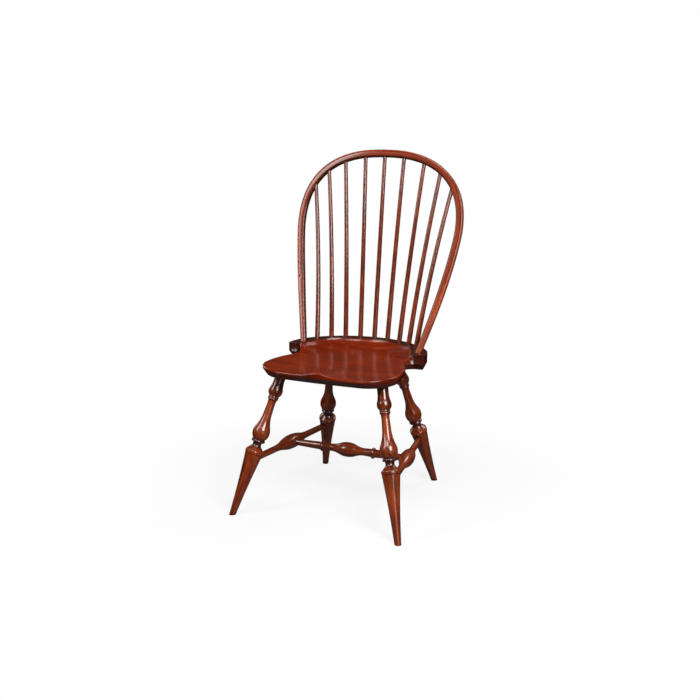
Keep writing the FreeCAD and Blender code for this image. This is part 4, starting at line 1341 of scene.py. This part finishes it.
    def _carve_top(self, draft: MeshDraft, rim: Sequence[int]) -> None:
        """Fill the top inside its rim with a fine net that follows the carved surface.

        Args:
            draft: The seat in the making.
            rim: The numbers of the points round its top.
        """
        flat = [draft.points[number].to_2d() for number in rim]
        loops = [list(range(len(flat)))]
        edges = []
        lines = [self._deck_line(outset) for outset in self.deck_outsets]
        groove = self.groove_outsets + (self.groove_width,)
        lines += [self._band_line(self.groove_offset + outset) for outset in groove]
        for line in lines:
            first = len(flat)
            flat += line
            edges += [(number, number + 1) for number in range(first, len(flat) - 1)]
        wide = self.ear_half_width
        count = int(2 * wide / self.grid)
        for i in range(count + 1):
            for j in range(count + 1):
                stagger = self.grid / 2 if j % 2 else 0.0
                back = j * self.grid - wide - self.grid_shift
                flat.append(Vector((i * self.grid - wide + stagger, back)))
        found = delaunay_2d_cdt(flat, edges, loops, INSIDE_ONLY, self.weld)
        places, triangles, sources = found[0], found[2], found[3]
        rim_of = {}
        for number, source in enumerate(sources):
            for original in source:
                if original < len(rim):
                    rim_of[number] = rim[original]
        used = sorted({number for face in triangles for number in face} - set(rim_of))
        points = [Vector((places[n].x, places[n].y, self.surface(places[n].x, places[n].y))) for n in used]
        tone_and_painted_shade = [self._band_painted_shade(point) for point in points]
        added = draft.add(points, [self._stock_place(point) for point in points], tone_and_painted_shade)
        known = dict(zip(used, added)) | rim_of
        for face in triangles:
            corners = tuple(dict.fromkeys(known[number] for number in face))
            if len(corners) > 2:
                draft.faces.append(corners)


# The studio.

@dataclass(frozen=True)
class Softbox:
    """A soft studio lamp: where it stands, its size and its power."""

    name: str
    azimuth: float
    elevation: float
    distance: float
    size: tuple[float, float]
    power: float

    def build(self, aim: Vector) -> None:
        """Hang the lamp and turn it to the chair.

        Args:
            aim: The point that it faces, in metres.
        """
        lamp = bpy.data.lights.new(self.name, "AREA")
        lamp.shape = "RECTANGLE"
        lamp.size, lamp.size_y = self.size
        lamp.energy = self.power
        thing = bpy.data.objects.new(self.name, lamp)
        way = outward(self.azimuth, self.elevation)
        thing.location = aim + way * self.distance
        thing.rotation_mode = "QUATERNION"
        thing.rotation_quaternion = (-way).to_track_quat("-Z", "Y")
        bpy.context.scene.collection.objects.link(thing)


def outward(azimuth: float, elevation: float) -> Vector:
    """The way from the chair towards a viewer at an azimuth and an elevation, in degrees.

    Args:
        azimuth: Degrees to the right of the chair's front.
        elevation: Degrees over the floor.

    Returns:
        A vector of length 1.
    """
    a = math.radians(azimuth)
    e = math.radians(elevation)
    return Vector((math.sin(a) * math.cos(e), -math.cos(a) * math.cos(e), math.sin(e)))


@dataclass
class Studio:
    """A pale floor, a white surround, soft lamps and the camera."""

    azimuth: float = 23.204
    elevation: float = 13.319
    roll: float = 0.344
    distance: float = 2784.95
    focal_share: float = 975.03 / 700
    sensor: float = 36.0
    target: Vector = Vector((1.781, 1.165, 448.649))
    floor_size: float = 60.0
    floor_seen: str = "#FAFAFA"
    floor_unseen: str = "#7C7C7C"
    mirrored: float = 0.5
    glow: float = 0.8
    fade_start: float = 0.35
    fade_end: float = 1.0
    fill_strength: float = 0.16
    backdrop_strength: float = 0.06
    ceiling_strength: float = 0.01
    backdrop_colour: str = "#FFD8A8"
    backdrop_top: float = 0.15
    ceiling_start: float = 0.6
    lamps: tuple[Softbox, ...] = (
        Softbox("key_softbox", 50, 33, 2.5, (1.1, 1.4), 48),
        Softbox("strip_softbox", -42, 36, 2.5, (0.5, 1.6), 19),
        Softbox("overhead_softbox", 0, 58, 2.5, (0.8, 0.8), 14),
        Softbox("low_card", 44, -1, 2.5, (0.45, 0.6), 2.2),
        Softbox("left_card", -112, 16, 2.6, (0.8, 1.6), 8),
        Softbox("rear_card", 150, 42, 2.6, (1.0, 1.0), 14),
    )

    def build(self, shift: Vector) -> None:
        """Set up the camera, the floor, the surround and the lamps.

        Args:
            shift: From the chair's own plan to the frame.
        """
        aim = (self.target + shift) * MM
        self._camera(aim)
        self._floor()
        self._surround()
        for lamp in self.lamps:
            lamp.build(aim)
        bpy.context.scene.view_settings.view_transform = "Standard"

    def _camera(self, aim: Vector) -> None:
        """Stand the camera at the viewing angle.

        Args:
            aim: The point that it faces, in metres.
        """
        camera = bpy.data.cameras.new("photo_camera")
        camera.sensor_width = self.sensor
        camera.lens = self.focal_share * self.sensor
        thing = bpy.data.objects.new("photo_camera", camera)
        back = outward(self.azimuth, self.elevation)
        right = (-back).cross(UP).normalized()
        upward = right.cross(-back)
        turn = math.radians(self.roll)
        side = right * math.cos(turn) + upward * math.sin(turn)
        top = upward * math.cos(turn) - right * math.sin(turn)
        matrix = Matrix((side, top, back)).transposed().to_4x4()
        matrix.translation = aim + back * self.distance * MM
        thing.matrix_world = matrix
        bpy.context.scene.collection.objects.link(thing)
        bpy.context.scene.camera = thing

    def _floor(self) -> None:
        """Lay a pale seamless paper floor, which keeps the chair's shadow."""
        half = self.floor_size / 2
        corners = [(-half, -half, 0), (half, -half, 0), (half, half, 0), (-half, half, 0)]
        mesh = bpy.data.meshes.new("paper_floor")
        mesh.from_pydata(corners, [], [(0, 1, 2, 3)])
        thing = bpy.data.objects.new("paper_floor", mesh)
        bpy.context.scene.collection.objects.link(thing)
        # Matt white paper: even and soft, with no gloss of its own.
        made = bpy.data.materials.new("matt_white_paper")
        made.use_nodes = True
        tree = made.node_tree
        tree.nodes.clear()
        path = add_node(tree, "ShaderNodeLightPath")
        # What the varnish mirrors of the paper lies half way from its unseen grey to its shown white.
        mirrored = add_node(tree, "ShaderNodeMath", {"operation": "MULTIPLY"}, {
            0: path.outputs["Is Glossy Ray"], 1: self.mirrored})
        shown = add_node(tree, "ShaderNodeMath", {"operation": "MAXIMUM"}, {
            0: mirrored.outputs[0], 1: path.outputs["Is Camera Ray"]})
        colour = add_node(tree, "ShaderNodeMix", {"data_type": "RGBA"}, {
            "Factor": shown.outputs[0], "A": linear(self.floor_unseen),
            "B": linear(self.floor_seen)})
        paper = add_node(tree, "ShaderNodeBsdfDiffuse", inputs={"Color": colour.outputs["Result"]})
        white = add_node(tree, "ShaderNodeEmission", inputs={
            "Color": linear(WHITE), "Strength": path.outputs["Is Camera Ray"]})
        place = add_node(tree, "ShaderNodeTexCoord")
        reach = add_node(tree, "ShaderNodeVectorMath", {"operation": "LENGTH"}, {
            0: place.outputs["Object"]})
        share = add_node(tree, "ShaderNodeMapRange", {"interpolation_type": "SMOOTHSTEP"}, {
            "Value": reach.outputs["Value"], "From Min": self.fade_start, "From Max": self.fade_end,
            "To Min": self.glow})
        # The paper runs out of the light's reach into the white of the surround.
        seamless = add_node(tree, "ShaderNodeMixShader", inputs={
            0: share.outputs[0], 1: paper.outputs[0], 2: white.outputs[0]})
        add_node(tree, "ShaderNodeOutputMaterial", inputs={"Surface": seamless.outputs[0]})
        mesh.materials.append(made)

    def _surround(self) -> None:
        """Light the room evenly and show it white to the camera."""
        world = bpy.data.worlds.new("white_surround")
        bpy.context.scene.world = world
        world.use_nodes = True
        tree = world.node_tree
        tree.nodes.clear()
        path = add_node(tree, "ShaderNodeLightPath")
        shown = add_node(tree, "ShaderNodeMath", {"operation": "MAXIMUM"}, {
            0: path.outputs["Is Camera Ray"], 1: path.outputs["Is Transmission Ray"]})
        # The varnish mirrors a warm dim backdrop near the horizon and a dark ceiling.
        way = add_node(tree, "ShaderNodeTexCoord")
        height = add_node(tree, "ShaderNodeSeparateXYZ", inputs={0: way.outputs["Generated"]})
        backdrop = add_node(tree, "ShaderNodeMapRange", {"interpolation_type": "SMOOTHSTEP"}, {
            "Value": height.outputs["Z"], "From Min": self.backdrop_top, "From Max": self.ceiling_start,
            "To Min": self.backdrop_strength, "To Max": self.ceiling_strength})
        lit = add_node(tree, "ShaderNodeBackground", inputs={
            "Color": linear(WHITE), "Strength": self.fill_strength})
        white = add_node(tree, "ShaderNodeBackground", inputs={"Color": linear(WHITE), "Strength": 1.0})
        dim = add_node(tree, "ShaderNodeBackground", inputs={
            "Color": linear(self.backdrop_colour), "Strength": backdrop.outputs[0]})
        glossy = add_node(tree, "ShaderNodeMixShader", inputs={
            0: path.outputs["Is Glossy Ray"], 1: lit.outputs[0], 2: dim.outputs[0]})
        mixed = add_node(tree, "ShaderNodeMixShader", inputs={
            0: shown.outputs[0], 1: glossy.outputs[0], 2: white.outputs[0]})
        add_node(tree, "ShaderNodeOutputWorld", inputs={"Surface": mixed.outputs[0]})


def plan_shift(seat: Seat) -> Vector:
    """How far the frame's origin lies from the origin of the chair's own plan.

    Args:
        seat: The seat, whose back edge is known in both.

    Returns:
        The move from the plan to the frame, in millimetres.
    """
    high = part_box("seat")[1]
    return Vector((0, high.y / MM - seat.ear_front - seat.back_depth, 0))


def main() -> None:
    """Build every part of the chair and the studio, in order."""
    logging.basicConfig(level=logging.INFO, format="%(message)s")
    stock: dict[str, bpy.types.Material] = {}
    seat = Seat()
    shift = plan_shift(seat)
    Undercarriage().build(shift, stock)
    Back().build(shift, stock)
    seat.build(shift, stock)
    Studio().build(shift)


if __name__ == "__main__":
    main()
